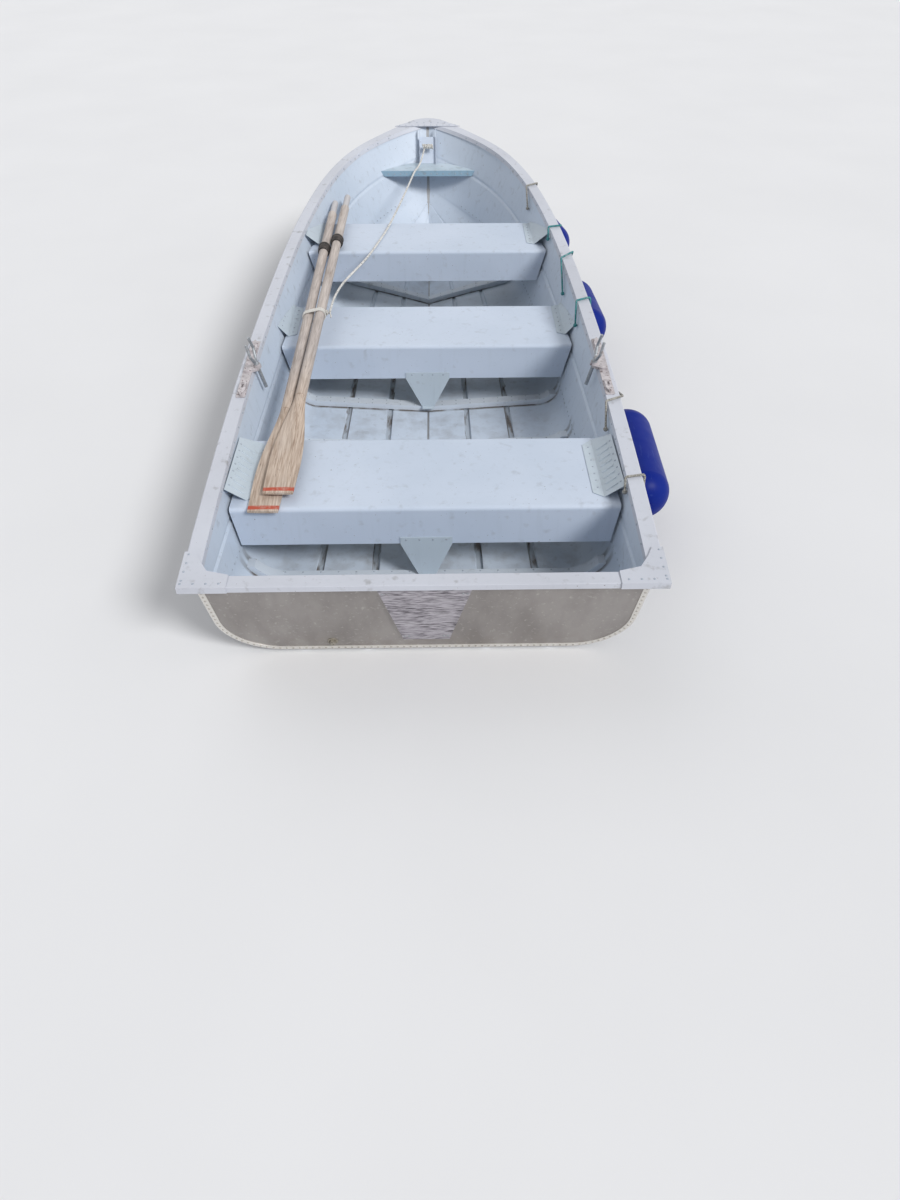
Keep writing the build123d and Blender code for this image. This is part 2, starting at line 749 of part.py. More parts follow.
# Knee plates from the aft and mid seats down to the floor ribs
#   rib: which floor rib its foot stands on; top_half and foot_half: half widths
Knee = namedtuple("Knee", "seat rib top_half foot_half")
knees = [Knee(0, 0, 88.0, 29.0), Knee(1, 3, 95.0, 25.0)]
knee_thick = 3.0
knee_overlap = 28.0        # riveted to the seat's face over this height
knee_toe = 20.0
with BuildPart() as knee_plates:
    for knee in knees:
        seat = thwarts[knee.seat]
        face_low = seat.top - seat.face
        foot_z = keel_height(rib_places[knee.rib]) + sheet + fit + rib_height + fit
        with BuildSketch(Plane.XZ.offset(-seat.aft + fit)):
            with BuildLine():
                Polyline((-knee.top_half, face_low + knee_overlap), (knee.top_half, face_low + knee_overlap),
                         (knee.top_half, face_low), (knee.foot_half, foot_z),
                         (-knee.foot_half, foot_z), (-knee.top_half, face_low), close=True)
            make_face()
        extrude(amount=knee_thick)
        with Locations((0, seat.aft - fit - knee_toe / 2, foot_z + knee_thick / 2)):
            Box(2 * knee.foot_half, knee_toe, knee_thick)
save(knee_plates, "knee_plates")

# Motor pad on the transom's outer face
pad_top_half = 137.0
pad_foot_half = 73.0
pad_top = transom_height - 22.0
pad_foot = 78.0
pad_thick = 9.0
with BuildPart() as motor_pad:
    with BuildSketch(transom_plane.offset(transom_sheet)):
        with BuildLine():
            top, foot = up(transom_station, pad_top), up(transom_station, pad_foot)
            Polyline((-pad_top_half, top), (pad_top_half, top), (pad_foot_half, foot),
                     (-pad_foot_half, foot), close=True)
        make_face()
    extrude(amount=pad_thick)
    chamfer(motor_pad.faces().sort_by(Axis.Y)[0].edges(), length=4)
save(motor_pad, "motor_pad")

# Drain plug
drain_x = -300.0
drain_up = 58.0
drain_flange = 17.0
drain_flange_thick = 3.0
drain_hexagon = 11.0
drain_head = 8.0
drain_place = (drain_x, up(transom_station, drain_up))
with BuildPart() as drain_plug:
    with BuildSketch(transom_plane.offset(transom_sheet)):
        with Locations(drain_place):
            Circle(drain_flange)
    extrude(amount=drain_flange_thick)
    with BuildSketch(transom_plane.offset(transom_sheet + drain_flange_thick)):
        with Locations(drain_place):
            RegularPolygon(drain_hexagon, 6)
    extrude(amount=drain_head)
save(drain_plug, "drain_plug")

# Rowlock sockets on the gunwales
rowlock_y = 1056.0
rowlock_lean = 12.0        # the shank runs down parallel with the hull's side
socket_length = 396.0
socket_width = 34.0
socket_base = 4.0
socket_side = 11.0         # from the skin line out to the middle of the base
socket_round = 5.0
pad_length = 84.0          # wedges at both ends of the base
pad_rise = 9.0
pad_width = 26.0
pad_taper = 28.0           # their outer ends are cut to a point over this length
pad_slot = (26.0, 8.0)
web_half = 34.0            # the plate between base and boss, along the rail
web_out = 24.0
web_thick = 11.0
boss_in = 24.0             # the boss stands this far inboard of the skin line
boss_up = 12.0
boss_radius = 14.0
boss_half = 8.0
shank_radius = 7.0
bore_radius = 7.5
rowlock_sheer, rowlock_slope = sheer_at(rowlock_y)
rowlock_half = sheer_half_at(rowlock_y)[0]
rail_plane = Plane(origin=(rowlock_half, rowlock_y, rowlock_sheer + rail_top + fit),
                   x_dir=(1, 0, 0), z_dir=(0, -rowlock_slope, 1))
boss_place = rail_plane.from_local_coords(Vector(-boss_in, 0, boss_up))
lean = radians(rowlock_lean)
shank_axis = rail_plane.x_dir * sin(lean) + rail_plane.z_dir * cos(lean)
boss_plane = Plane(origin=boss_place, x_dir=rail_plane.y_dir, z_dir=shank_axis)
with BuildPart() as socket_starboard:
    with BuildSketch(rail_plane):
        with Locations((socket_side, 0)):
            RectangleRounded(socket_width, socket_length, socket_round)
    extrude(amount=socket_base)
    with BuildSketch(rail_plane.offset(socket_base)):
        for end in (1, -1):
            far = end * (socket_length / 2 - sheet)
            near = far - end * pad_length
            inner, outer = socket_side - pad_width / 2, socket_side + pad_width / 2
            with BuildLine():
                Polyline((inner, near), (inner, far - end * pad_taper), (socket_side, far),
                         (outer, far - end * pad_taper), (outer, near), close=True)
            make_face()
            with Locations((socket_side, near + end * pad_slot[0])):
                SlotOverall(*pad_slot, rotation=90, mode=Mode.SUBTRACT)
    extrude(amount=pad_rise)
    with BuildSketch(rail_plane):
        with BuildLine():
            tip = -boss_in - boss_radius / 2
            Polyline((tip, -boss_radius), (web_out / 4, -web_half), (web_out, -web_half),
                     (web_out, web_half), (web_out / 4, web_half), (tip, boss_radius), close=True)
        make_face()
    extrude(amount=web_thick)
    with BuildSketch(boss_plane.offset(-boss_half)):
        Circle(boss_radius)
    extrude(amount=2 * boss_half)
    with BuildSketch(boss_plane.offset(-3 * boss_half)):
        Circle(bore_radius)
    extrude(amount=6 * boss_half, mode=Mode.SUBTRACT)
both_sides(socket_starboard, "rowlock_socket_starboard", "rowlock_socket_port")

# Rowlocks: a horn with two prongs on a shank that turns in the socket's bore
horn_radius = 5.5
horn_tip = 28.0            # half the distance between the prongs' tips
horn_wide = 36.0           # half of the widest place, above the horn's bend
horn_foot = 14.0
horn_height = 104.0        # from the boss to the prongs' tips
horn_low = 22.0
horn_bend = 34.0           # height of the bend from foot to prong
horn_round = 12.0
shank_drop = 92.0
collar_radius = 11.0
turn_gap = 0.6
with BuildPart() as rowlock_starboard:
    horn_plane = Plane(origin=boss_place, x_dir=rail_plane.y_dir,
                       z_dir=rail_plane.y_dir.cross(shank_axis))
    with BuildLine(horn_plane) as horn_path:
        FilletPolyline((-horn_tip, horn_height), (-horn_wide, horn_low + horn_bend),
                       (-horn_foot, horn_low), (horn_foot, horn_low),
                       (horn_wide, horn_low + horn_bend), (horn_tip, horn_height), radius=horn_round)
    with BuildSketch(Plane(origin=horn_path.line @ 0, z_dir=horn_path.line % 0)):
        Circle(horn_radius)
    sweep()
    with BuildSketch(boss_plane.offset(boss_half + turn_gap)):
        Circle(collar_radius)
    extrude(amount=horn_low - boss_half - turn_gap, taper=14)
    with BuildSketch(boss_plane.offset(-shank_drop)):
        Circle(shank_radius)
    extrude(amount=shank_drop + horn_low)
both_sides(rowlock_starboard, "rowlock_starboard", "rowlock_port")

# Oars, laid along the port side on the seats
#   tip and end: (across, forward, up) of the axis at the blade's tip and at the handle's end
#   collar: how far forward its collar sits
Oar = namedtuple("Oar", "name tip end collar")
oars = [
    Oar("outer", Vector(-528.0, 300.0, 330.2), Vector(-484.0, 2735.0, 471.7), 2182.0),
    Oar("inner", Vector(-484.0, 365.0, 356.0), Vector(-424.0, 2808.0, 476.3), 2259.0),
]
oar_radius = 21.0
grip_radius = 16.0
grip_length = 150.0
blade_length = 575.0
blade_half = 54.0
blade_thick = 12.0
blade_edge = 7.0
collar_length = 58.0
oar_collar_radius = 29.5
# Along the blade from its tip, with its width and its thickness as shares of the full ones
Blade = namedtuple("Blade", "along half thick")
blade_sections = [
    Blade(0.0, 0.92, 0.75),
    Blade(0.28, 1.0, 1.0),
    Blade(0.55, 0.86, 1.3),
    Blade(0.78, 0.56, 1.85),
    Blade(1.0, 0.385, 3.4),
]


def oar_plane(oar, along=0.0):
    """A plane across an oar, facing forward along it."""
    axis = (oar.end - oar.tip).normalized()
    return Plane(origin=oar.tip + axis * along, x_dir=(1, 0, 0), z_dir=axis)


for oar in oars:
    length = (oar.end - oar.tip).length
    with BuildPart() as oar_body:
        for row in blade_sections:
            with BuildSketch(oar_plane(oar, row.along * blade_length)):
                half = row.half * blade_half
                thick = row.thick * blade_thick / 2
                with BuildLine():
                    ThreePointArc((half, -blade_edge / 2), (0, -thick), (-half, -blade_edge / 2))
                    Line((-half, -blade_edge / 2), (-half, blade_edge / 2))
                    ThreePointArc((-half, blade_edge / 2), (0, thick), (half, blade_edge / 2))
                    Line((half, blade_edge / 2), (half, -blade_edge / 2))
                make_face()
        loft()
        with BuildSketch(oar_plane(oar, blade_length * 0.97)):
            Circle(oar_radius)
        extrude(amount=length - blade_length * 0.97 - grip_length)
        with BuildSketch(oar_plane(oar, length - grip_length)):
            Circle(grip_radius)
        extrude(amount=grip_length)
        rim = oar_body.faces().sort_by(Axis.Y)[-1].edges()
        fillet(rim, radius=grip_radius * 0.6)
    save(oar_body, f"oar_{oar.name}")

with BuildPart() as oar_collars:
    for oar in oars:
        along = oar.collar - oar.tip.Y
        with BuildSketch(oar_plane(oar, along - collar_length / 2)):
            Circle(oar_collar_radius)
            Circle(oar_radius + fit, mode=Mode.SUBTRACT)
        extrude(amount=collar_length)
save(oar_collars, "oar_collars")

# Lashing: a flat band of cord round both shafts, with its knot on the inboard side
lash_y = 1552.0
lash_thick = 4.5
lash_width = 15.0
lash_gap = 0.4
lash_knot = 11.0
lash_knot_out = 14.0       # from the inner shaft's surface to the knot's centre
shafts = [oar_plane(oar, lash_y - oar.tip.Y).origin for oar in oars]
across = shafts[1] - shafts[0]
lash_plane = Plane(origin=shafts[0] + across / 2, x_dir=across, z_dir=(0, 1, 0))
knot_place = lash_plane.from_local_coords(Vector(across.length / 2 + oar_radius + lash_knot_out, 0, 0))
with BuildPart() as oar_lashing:
    with BuildSketch(lash_plane):
        SlotCenterToCenter(across.length, 2 * (oar_radius + lash_gap + lash_thick))
        SlotCenterToCenter(across.length, 2 * (oar_radius + lash_gap), mode=Mode.SUBTRACT)
    extrude(amount=lash_width / 2, both=True)
    with Locations(knot_place):
        Sphere(lash_knot)
save(oar_lashing, "oar_lashing")


def tube_radii(points, most):
    """Bend radii for a tube through points, so that each bend takes under half of its runs."""
    radii = []
    for before, at, after in zip(points, points[1:], points[2:]):
        turn = (at - before).get_angle(after - at)
        shorter = min((at - before).length, (after - at).length)
        radii.append(min(0.45 * shorter / tan(radians(turn) / 2), most))
    return radii


def tube(points, radius, most):
    """A round cord through points."""
    with BuildPart() as cord:
        with BuildLine() as route:
            FilletPolyline(*points, radius=tube_radii(points, most))
        with BuildSketch(Plane(origin=points[0], z_dir=points[1] - points[0])):
            Circle(radius)
        sweep(path=route.line)
    return cord.part


# Fenders along the starboard side: drums with a domed end and a lug at each end
#   aft and fore: the ends of its lugs; aft_up and fore_up: heights of its axis there
Fender = namedtuple("Fender", "name aft fore radius aft_up fore_up")
fenders = [
    Fender("aft", 385.0, 925.0, 97.0, 245.0, 285.0),
    Fender("mid", 1590.0, 2060.0, 97.0, 270.0, 290.0),
    Fender("front", 2385.0, 2805.0, 92.0, 345.0, 365.0),
]
lug_radius = 21.0
lug_length = 24.0
dome_length = 80.0
dome_foot = 3.0            # the dome starts this far up from the lug
dome_middle = (0.80, 0.40)  # a point of its arc, as shares of the radius and of its length
fender_gap = 3.6           # the pressed bead stands this far out from the skin line


def fender_axis(row):
    """Both ends of a fender's axis, so that it lies along the hull's side."""
    middle_y = (row.aft + row.fore) / 2
    middle_z = (row.aft_up + row.fore_up) / 2
    side_x, narrowing = half_breadth(middle_y, middle_z)
    flare = (half_breadth(middle_y, middle_z + 50)[0] - side_x) / 50
    out = (row.radius + fender_gap) * sqrt(1 + flare**2 + narrowing**2)
    ends = []
    for y, z in ((row.aft, row.aft_up), (row.fore, row.fore_up)):
        x = side_x + out + narrowing * (y - middle_y) + flare * (z - middle_z)
        ends.append(Vector(x, y, z))
    return ends


for row in fenders:
    aft_end, fore_end = fender_axis(row)
    run = fore_end - aft_end
    length = run.length
    level = run.cross(Vector(0, 0, 1))
    near = lug_length + dome_length
    bulge = (row.radius * dome_middle[0], lug_length + dome_length * dome_middle[1])
    with BuildPart() as fender:
        with BuildSketch(Plane(origin=aft_end, x_dir=level, z_dir=level.cross(run))):
            with BuildLine():
                foot = (lug_radius, lug_length + dome_foot)
                Polyline((0, 0), (lug_radius, 0), foot)
                ThreePointArc(foot, bulge, (row.radius, near))
                Line((row.radius, near), (row.radius, length - near))
                head = (lug_radius, length - lug_length - dome_foot)
                ThreePointArc((row.radius, length - near), (bulge[0], length - bulge[1]), head)
                Polyline(head, (lug_radius, length), (0, length), (0, 0))
            make_face()
        revolve(axis=Axis(aft_end, run))
    save(fender, f"fender_{row.name}")

# Lanyards: each goes from a fender's lug over the gunwale to a knot inside
#   end: 0 aft, 1 fore; lip: where it passes the rail's lip; over: where it crosses the rail
#   tie_y and tie_z: how far forward and up its inner knot is
Lanyard = namedtuple("Lanyard", "fender end lip over tie_y tie_z")
lanyards = [
    Lanyard(0, 1, 926.0, 840.0, 716.0, 366.0),
    Lanyard(0, 0, 374.0, 380.0, 332.0, 374.0),
    Lanyard(1, 1, 2062.0, 2030.0, 1790.0, 392.0),
    Lanyard(1, 0, 1580.0, 1600.0, 1478.0, 392.0),
    Lanyard(2, 1, 2812.0, 2770.0, 2640.0, 470.0),
    Lanyard(2, 0, 2374.0, 2300.0, 2242.0, 464.0),
]
lanyard_radius = 4.0
lanyard_bend = 9.0
knot_radius = 8.5
rope_gap = 0.6
rail_clear = 2.0           # a lanyard keeps this much more off the rail's faces
lip_clear = 6.0            # it turns this far below the rail's lip
drift_share = 0.25         # share of its way aft or forward made while over the rail
tie_flare = 1.12           # a knot stands further in than a level measure, as the side leans
with BuildPart() as fender_lanyards:
    for row in lanyards:
        aft_end, fore_end = fender_axis(fenders[row.fender])
        axis = (fore_end - aft_end).normalized()
        off = knot_radius + rope_gap
        lug_knot = fore_end + axis * off if row.end else aft_end - axis * off
        clear = lanyard_radius + rope_gap + rail_clear
        rail_z, rail_slope = sheer_at(row.over)
        rail_x, rail_turn = sheer_half_at(row.over)
        wide = sqrt(1 + rail_turn**2)
        out_x = rail_x + rail_reach * wide + clear
        above = rail_z + rail_top + clear
        drift = (row.tie_y - row.over) * drift_share
        in_x = rail_x + rail_turn * drift - (rail_inner + rail_wall) * wide - clear
        in_z = above + rail_slope * drift
        tie_in = (2 * sheet + lap_gap + knot_radius + rope_gap) * tie_flare
        tie_x = half_breadth(row.tie_y, row.tie_z)[0] - tie_in
        points = [
            lug_knot,
            Vector(out_x, row.lip, rail_z - rail_lip - lip_clear),
            Vector(out_x, row.over, above),
            Vector(in_x, row.over + drift, in_z),
            Vector(tie_x, row.tie_y, row.tie_z),
        ]
        add(tube(points, lanyard_radius, lanyard_bend))
        with Locations(points[0], points[-1]):
            Sphere(knot_radius)
save(fender_lanyards, "fender_lanyards")

# Bow line: slack cord from a turn on the post, over the shelf and the front seat to the oars
line_radius = 5.0
turn_radius = 14.0
turn_half = 34.0
turn_up = 560.0
turn_y = post_foot_y - post_depth + (turn_up - post_low) * tan(radians(stem_lean))
turn_centre = Vector(0, turn_y - (turn_radius + rope_gap) / cos(radians(stem_lean)), turn_up)
with BuildPart() as bow_line_knot:
    with Locations(Location(turn_centre, (0, 90, 0))):
        Cylinder(turn_radius, 2 * turn_half)
    fillet(bow_line_knot.edges(), radius=turn_radius * 0.7)
save(bow_line_knot, "bow_line_knot")

bow_route = [
    Vector(-20, turn_centre.Y - 11.2, turn_up - 10.2),
    Vector(-34, 3322, 512),
    Vector(-54, 3266, 487),
    Vector(-74, 3208, 484),
    Vector(-100, 3075, 464),
    Vector(-126, 2937, 449),
    Vector(-151, 2798, 438),
    Vector(-175, 2660, 431),
    Vector(-198, 2530, 424.6),
    Vector(-223, 2400, 424.1),
    Vector(-251, 2275, 424.6),
    Vector(-278, 2165, 422),
    Vector(-312, 2070, 416),
    Vector(-350, 1982, 409),
    Vector(-384, 1890, 405),
    Vector(-404, 1790, 405),
    Vector(-413, 1690, 409),
    Vector(-413, 1615, 415),
    Vector(-414, 1565, 419),
]
line_bend = 600.0          # its widest bend
with BuildPart() as bow_line:
    add(tube(bow_route, line_radius, line_bend))
save(bow_line, "bow_line")
run_lengths = [(b - a).length for a, b in zip(bow_route, bow_route[1:])]
print("bow line radii", [round(r) for r in tube_radii(bow_route, line_bend)])
print("bow line volume", round(bow_line.part.volume), "section times length",
      round(sum(run_lengths) * pi * line_radius**2))
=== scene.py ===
# %% [markdown]
# # A riveted aluminium rowing boat
#
# This lesson dresses a boat whose pieces are already built to size. The frame brings them in
# metres: X to starboard, Y forward, Z up, and the ground at zero. What is left to do here is
# what makes sheet metal look like a real boat: worn paint, rivets, weathered wood and cord.

# %% Load the frame
import math

import bmesh
import bpy
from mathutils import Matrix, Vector
from mathutils.bvhtree import BVHTree


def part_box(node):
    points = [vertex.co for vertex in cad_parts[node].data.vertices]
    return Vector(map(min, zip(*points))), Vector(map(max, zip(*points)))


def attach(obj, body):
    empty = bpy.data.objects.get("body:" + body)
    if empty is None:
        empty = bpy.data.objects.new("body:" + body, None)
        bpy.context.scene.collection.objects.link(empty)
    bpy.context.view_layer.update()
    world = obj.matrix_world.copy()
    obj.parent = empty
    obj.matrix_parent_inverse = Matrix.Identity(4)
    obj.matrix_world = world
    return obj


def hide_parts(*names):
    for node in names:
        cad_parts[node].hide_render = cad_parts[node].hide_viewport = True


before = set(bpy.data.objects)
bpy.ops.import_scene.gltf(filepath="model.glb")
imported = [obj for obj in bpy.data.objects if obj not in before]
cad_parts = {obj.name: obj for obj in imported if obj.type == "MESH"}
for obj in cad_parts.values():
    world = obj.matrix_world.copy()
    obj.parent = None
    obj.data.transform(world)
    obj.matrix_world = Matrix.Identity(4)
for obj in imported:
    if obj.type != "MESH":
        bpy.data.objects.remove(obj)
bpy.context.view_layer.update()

print("pieces in the frame:", len(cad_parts))

# %% [markdown]
# ## The camera
#
# The boat was photographed from a little above and behind its transom with a wide lens. A
# camera that is placed by real sizes shows the same foreshortening: the stern wide, the
# bow small.

# %% Camera
def in_scene(name, data):
    """A new object that holds a camera, lamp, curve or mesh, linked into the scene."""
    thing = bpy.data.objects.new(name, data)
    bpy.context.scene.collection.objects.link(thing)
    return thing


camera_place = Vector((0.046, -1.803, 1.975))
camera_pitch = math.radians(44.28)     # below the horizon
camera_yaw = math.radians(0.91)        # to starboard
camera_lens = 24.52                    # mm on a picture 36 mm tall

camera_data = bpy.data.cameras.new("camera")
camera_data.sensor_fit = "VERTICAL"
camera_data.sensor_height = 36.0
camera_data.lens = camera_lens
camera = in_scene("camera", camera_data)
camera.location = camera_place
camera.rotation_euler = (math.pi / 2 - camera_pitch, 0.0, -camera_yaw)
bpy.context.scene.camera = camera
print("camera stands", round(camera_place.z, 2), "m above the ground")

# %% [markdown]
# ## Small helpers
#
# Every material below is a graph of nodes. One helper adds a node, sets it up and wires its
# inputs, so that a graph reads from top to bottom. Another turns a colour, as it is picked
# on a screen, to the linear light that Blender counts in.

# %% Colours and nodes
def linear(colour):
    """An sRGB colour such as "c6d0da", as linear red, green and blue with an alpha of 1."""
    values = [int(colour[i:i + 2], 16) / 255 for i in (0, 2, 4)]
    return [v / 12.92 if v <= 0.04045 else ((v + 0.055) / 1.055) ** 2.4 for v in values] + [1.0]


def add_node(tree, kind, inputs=None, **settings):
    """A node with its settings made, and each input given a value or linked to a socket."""
    node = tree.nodes.new(kind)
    for name, value in settings.items():
        setattr(node, name, value)
    for key, value in (inputs or {}).items():
        if isinstance(value, bpy.types.NodeSocket):
            tree.links.new(value, node.inputs[key])
        else:
            node.inputs[key].default_value = value
    return node


print("screen grey 808080 is", round(linear("808080")[0], 3), "in linear light")

# %% [markdown]
# Wear comes in patches. A mask is black and white noise with its contrast raised: where it
# is white, a second colour shows. Its size is given in metres, so that a stain of 30 mm is
# 30 mm on every piece, and it may be stretched along an axis to make streaks or grain.

# %% Patches and tints
def patches(tree, size, low, high, stretch=(1.0, 1.0, 1.0), detail=6.0, shift=0.0):
    """A mask in patches about size across, in metres, that rises from low to high."""
    where = add_node(tree, "ShaderNodeTexCoord").outputs["Object"]
    scale = [1 / (size * along) for along in stretch]
    placed = add_node(tree, "ShaderNodeMapping",
                      {"Vector": where, "Scale": scale, "Location": [shift] * 3})
    clouds = add_node(tree, "ShaderNodeTexNoise",
                      {"Vector": placed.outputs["Vector"], "Scale": 1.0, "Detail": detail})
    mask = add_node(tree, "ShaderNodeMapRange",
                    {"Value": clouds.outputs["Fac"], "From Min": low, "From Max": high})
    return mask.outputs["Result"]


def between(tree, axis, start, end):
    """A mask that rises from 0 to 1 along the axis "X", "Y" or "Z", from start to end."""
    where = add_node(tree, "ShaderNodeTexCoord").outputs["Object"]
    apart = add_node(tree, "ShaderNodeSeparateXYZ", {"Vector": where})
    rise = add_node(tree, "ShaderNodeMapRange",
                    {"Value": apart.outputs[axis], "From Min": start, "From Max": end})
    return rise.outputs["Result"]


def both(tree, one, other, operation="MULTIPLY"):
    """Two masks, multiplied or otherwise put together."""
    return add_node(tree, "ShaderNodeMath", {0: one, 1: other}, operation=operation).outputs[0]


def tint(tree, under, mask, over, share=1.0):
    """A colour laid over another where a mask is white, at a share of its strength."""
    under, over = (linear(c) if isinstance(c, str) else c for c in (under, over))
    if share != 1.0:
        mask = both(tree, mask, share)
    mix = add_node(tree, "ShaderNodeMix", {0: mask, 6: under, 7: over}, data_type="RGBA")
    return mix.outputs[2]


print("helpers for masks and tints are ready")

# %% [markdown]
# A finish is one shader, and a function builds the graph behind it and answers with the
# shader's inputs. Dents of a few millimetres and marks of a tenth are relief: a bump that
# tilts the light and costs no faces. Its depth is given in metres too.

# %% Finishes and relief
def finish_material(name, build):
    """A material whose graph build(tree) makes. It returns the shader's inputs."""
    material = bpy.data.materials.new(name)
    material.use_nodes = True
    tree = material.node_tree
    tree.nodes.clear()
    shader = add_node(tree, "ShaderNodeBsdfPrincipled", build(tree))
    add_node(tree, "ShaderNodeOutputMaterial", {"Surface": shader.outputs[0]})
    return material


def relief(tree, height, depth, under=None):
    """A bumped normal: height 1 stands depth metres proud."""
    inputs = {"Height": height, "Distance": depth, "Strength": 1.0}
    if under:
        inputs["Normal"] = under
    return add_node(tree, "ShaderNodeBump", inputs).outputs["Normal"]


print("helpers for finishes are ready")

# %% [markdown]
# ## Painted aluminium
#
# The inside was brushed with a pale blue-grey enamel many seasons ago. To the eye it is
# almost matt, with slightly darker and greyer clouds, thin dirt that gathers low down, run
# marks down the sides, and rare rust-brown specks. A dark line along both edges of each
# floor rib is painted shade. The sheet under the enamel isn't flat: wide, shallow dents catch
# the light, so the bump has one coarse and one fine layer. Real brush marks are a few tenths
# of a millimetre wide, and are drawn at 1.6 mm so that they show.

# %% Painted sheet
# the middles of the floor ribs along the boat, and half the width of a rib
rib_places = (0.320, 0.765, 1.130, 1.455, 1.850, 2.200, 2.560, 2.860)
rib_half_width = 0.022


def rib_edge_shade(tree, reach=0.017, full=0.006):
    """A mask along both edges of each floor rib, for painted shade beside the raised ribs."""
    where = add_node(tree, "ShaderNodeTexCoord").outputs["Object"]
    along = add_node(tree, "ShaderNodeSeparateXYZ", {"Vector": where}).outputs["Y"]
    nearest = 1.0
    for y in rib_places:
        away = both(tree, both(tree, along, y, "SUBTRACT"), 0.0, "ABSOLUTE")
        nearest = both(tree, nearest, away, "MINIMUM")
    edge = both(tree, both(tree, nearest, rib_half_width, "SUBTRACT"), 0.0, "ABSOLUTE")
    line = add_node(tree, "ShaderNodeMapRange",
                    {"Value": edge, "From Min": reach, "From Max": full})
    return line.outputs["Result"]


def painted_sheet(name, paint, aged, stains=0.30, run_marks=0.25, silt_and_rib_shade=0.0, rough=0.5):
    """Old enamel on sheet metal. The shares say how much of each kind of wear shows."""
    def build(tree):
        clouds = patches(tree, 0.45, 0.35, 0.70, detail=3.0)
        colour = tint(tree, paint, clouds, aged, 0.6)
        streaks = patches(tree, 0.022, 0.56, 0.86, stretch=(1.0, 1.0, 9.0), detail=4.0, shift=3.0)
        colour = tint(tree, colour, streaks, "98a1a8", run_marks)
        grime = patches(tree, 0.035, 0.60, 0.80, detail=10.0, shift=7.0)
        colour = tint(tree, colour, grime, "7f7d78", stains)
        if silt_and_rib_shade:
            low_down = between(tree, "Z", 0.070, 0.008)
            dirt = patches(tree, 0.06, 0.44, 0.70, detail=10.0, shift=11.0)
            colour = tint(tree, colour, both(tree, dirt, low_down), "77706a", silt_and_rib_shade)
            # painted shade along both edges of each floor rib, near the floor, broken in patches
            broken = patches(tree, 0.05, 0.20, 0.52, detail=8.0, shift=13.0)
            rib_shade_low = both(tree, rib_edge_shade(tree), between(tree, "Z", 0.16, 0.06))
            colour = tint(tree, colour, both(tree, broken, rib_shade_low), "5a524b")
        specks = patches(tree, 0.007, 0.745, 0.775, detail=2.0, shift=5.0)
        colour = tint(tree, colour, specks, "5c4a3c")
        dents = patches(tree, 0.20, 0.2, 0.8, detail=1.0)
        brushing = patches(tree, 0.0016, 0.2, 0.8, stretch=(1.0, 6.0, 1.0), detail=3.0)
        normal = relief(tree, brushing, 0.00006, relief(tree, dents, 0.0028))
        shine = add_node(tree, "ShaderNodeMapRange",
                         {"Value": grime, "To Min": rough, "To Max": rough + 0.2})
        return {"Base Color": colour, "Roughness": shine.outputs["Result"], "Normal": normal}
    return finish_material(name, build)


hull_enamel = painted_sheet("blue-grey enamel", "c9d3e0", "b9c5d3", stains=0.35, silt_and_rib_shade=0.35)
seat_enamel = painted_sheet("seat enamel", "c8d2e1", "b7c3d3", stains=0.3, run_marks=0.15)
bracket_enamel = painted_sheet("bracket enamel", "bfcad3", "adb9c2", stains=0.4)
rail_enamel = painted_sheet("rail enamel", "c9ccd5", "b6b8c0", stains=0.65, run_marks=0.2)
rib_enamel = painted_sheet("rib enamel", "d0d7e0", "bcc6d1", stains=0.4)
rivet_enamel = painted_sheet("rivet enamel", "a9b2bd", "8f98a2", stains=0.6, run_marks=0.0)
print("enamels:", hull_enamel.name, seat_enamel.name, bracket_enamel.name, rail_enamel.name)

# %% [markdown]
# Rain carries grit and rust-brown mud into the pressed runners of the floor, where it dries in
# stretches along the boat. The patches are four times as long as they are wide.

# %% Silted runners
def build_silt(tree):
    """Enamel under dried mud, with grit of about 4 mm on top."""
    mud = patches(tree, 0.028, 0.48, 0.62, stretch=(1.0, 4.0, 1.0), detail=8.0, shift=2.0)
    grit = patches(tree, 0.004, 0.35, 0.65, detail=5.0)
    soil = tint(tree, "6d5c4d", grit, "3f3a37")
    colour = tint(tree, "a9b2bc", mud, soil, 0.85)
    return {"Base Color": colour, "Roughness": 0.85, "Normal": relief(tree, grit, 0.0004)}


silted_enamel = finish_material("silted enamel", build_silt)
print("in the runners:", silted_enamel.name)

# %% [markdown]
# ## Bare aluminium
#
# Outside, the sheet was never painted, or has lost its paint. Weathered mill aluminium is a
# dull warm grey with a soft sheen, hazy from salt, with a few pale spots and fine rolling
# marks: along the boat on the hull, across it on the transom. The real marks are finer than
# a tenth of a millimetre, and are drawn 2 mm wide so that they show. A metal keeps the
# default IOR: its colour comes from the base.

# %% Bare sheet
def bare_sheet(name, metal, haze, haze_share, rough, grain=(9.0, 1.0, 1.0), splashes=0.45):
    """Unpainted aluminium, hazy in patches, with rolling marks along one axis."""
    def build(tree):
        clouds = patches(tree, 0.10, 0.38, 0.70, stretch=(1.0, 1.0, 3.0), detail=5.0)
        colour = tint(tree, metal, clouds, haze, haze_share)
        spatter = patches(tree, 0.012, 0.60, 0.72, detail=5.0, shift=2.0)
        colour = tint(tree, colour, spatter, "d8d5cf", 0.30)
        splash = both(tree, patches(tree, 0.04, 0.42, 0.70, shift=4.0),
                      between(tree, "Z", 0.12, 0.0))
        colour = tint(tree, colour, splash, "8a8076", splashes)
        marks = patches(tree, 0.0022, 0.2, 0.8, stretch=grain, detail=4.0)
        dents = patches(tree, 0.14, 0.2, 0.8, detail=1.0, shift=6.0)
        shine = add_node(tree, "ShaderNodeMapRange",
                         {"Value": clouds, "To Min": rough, "To Max": rough + 0.18})
        return {"Base Color": colour, "Metallic": 0.55, "Roughness": shine.outputs["Result"],
                "Normal": relief(tree, marks, 0.00006, relief(tree, dents, 0.0018))}
    return finish_material(name, build)


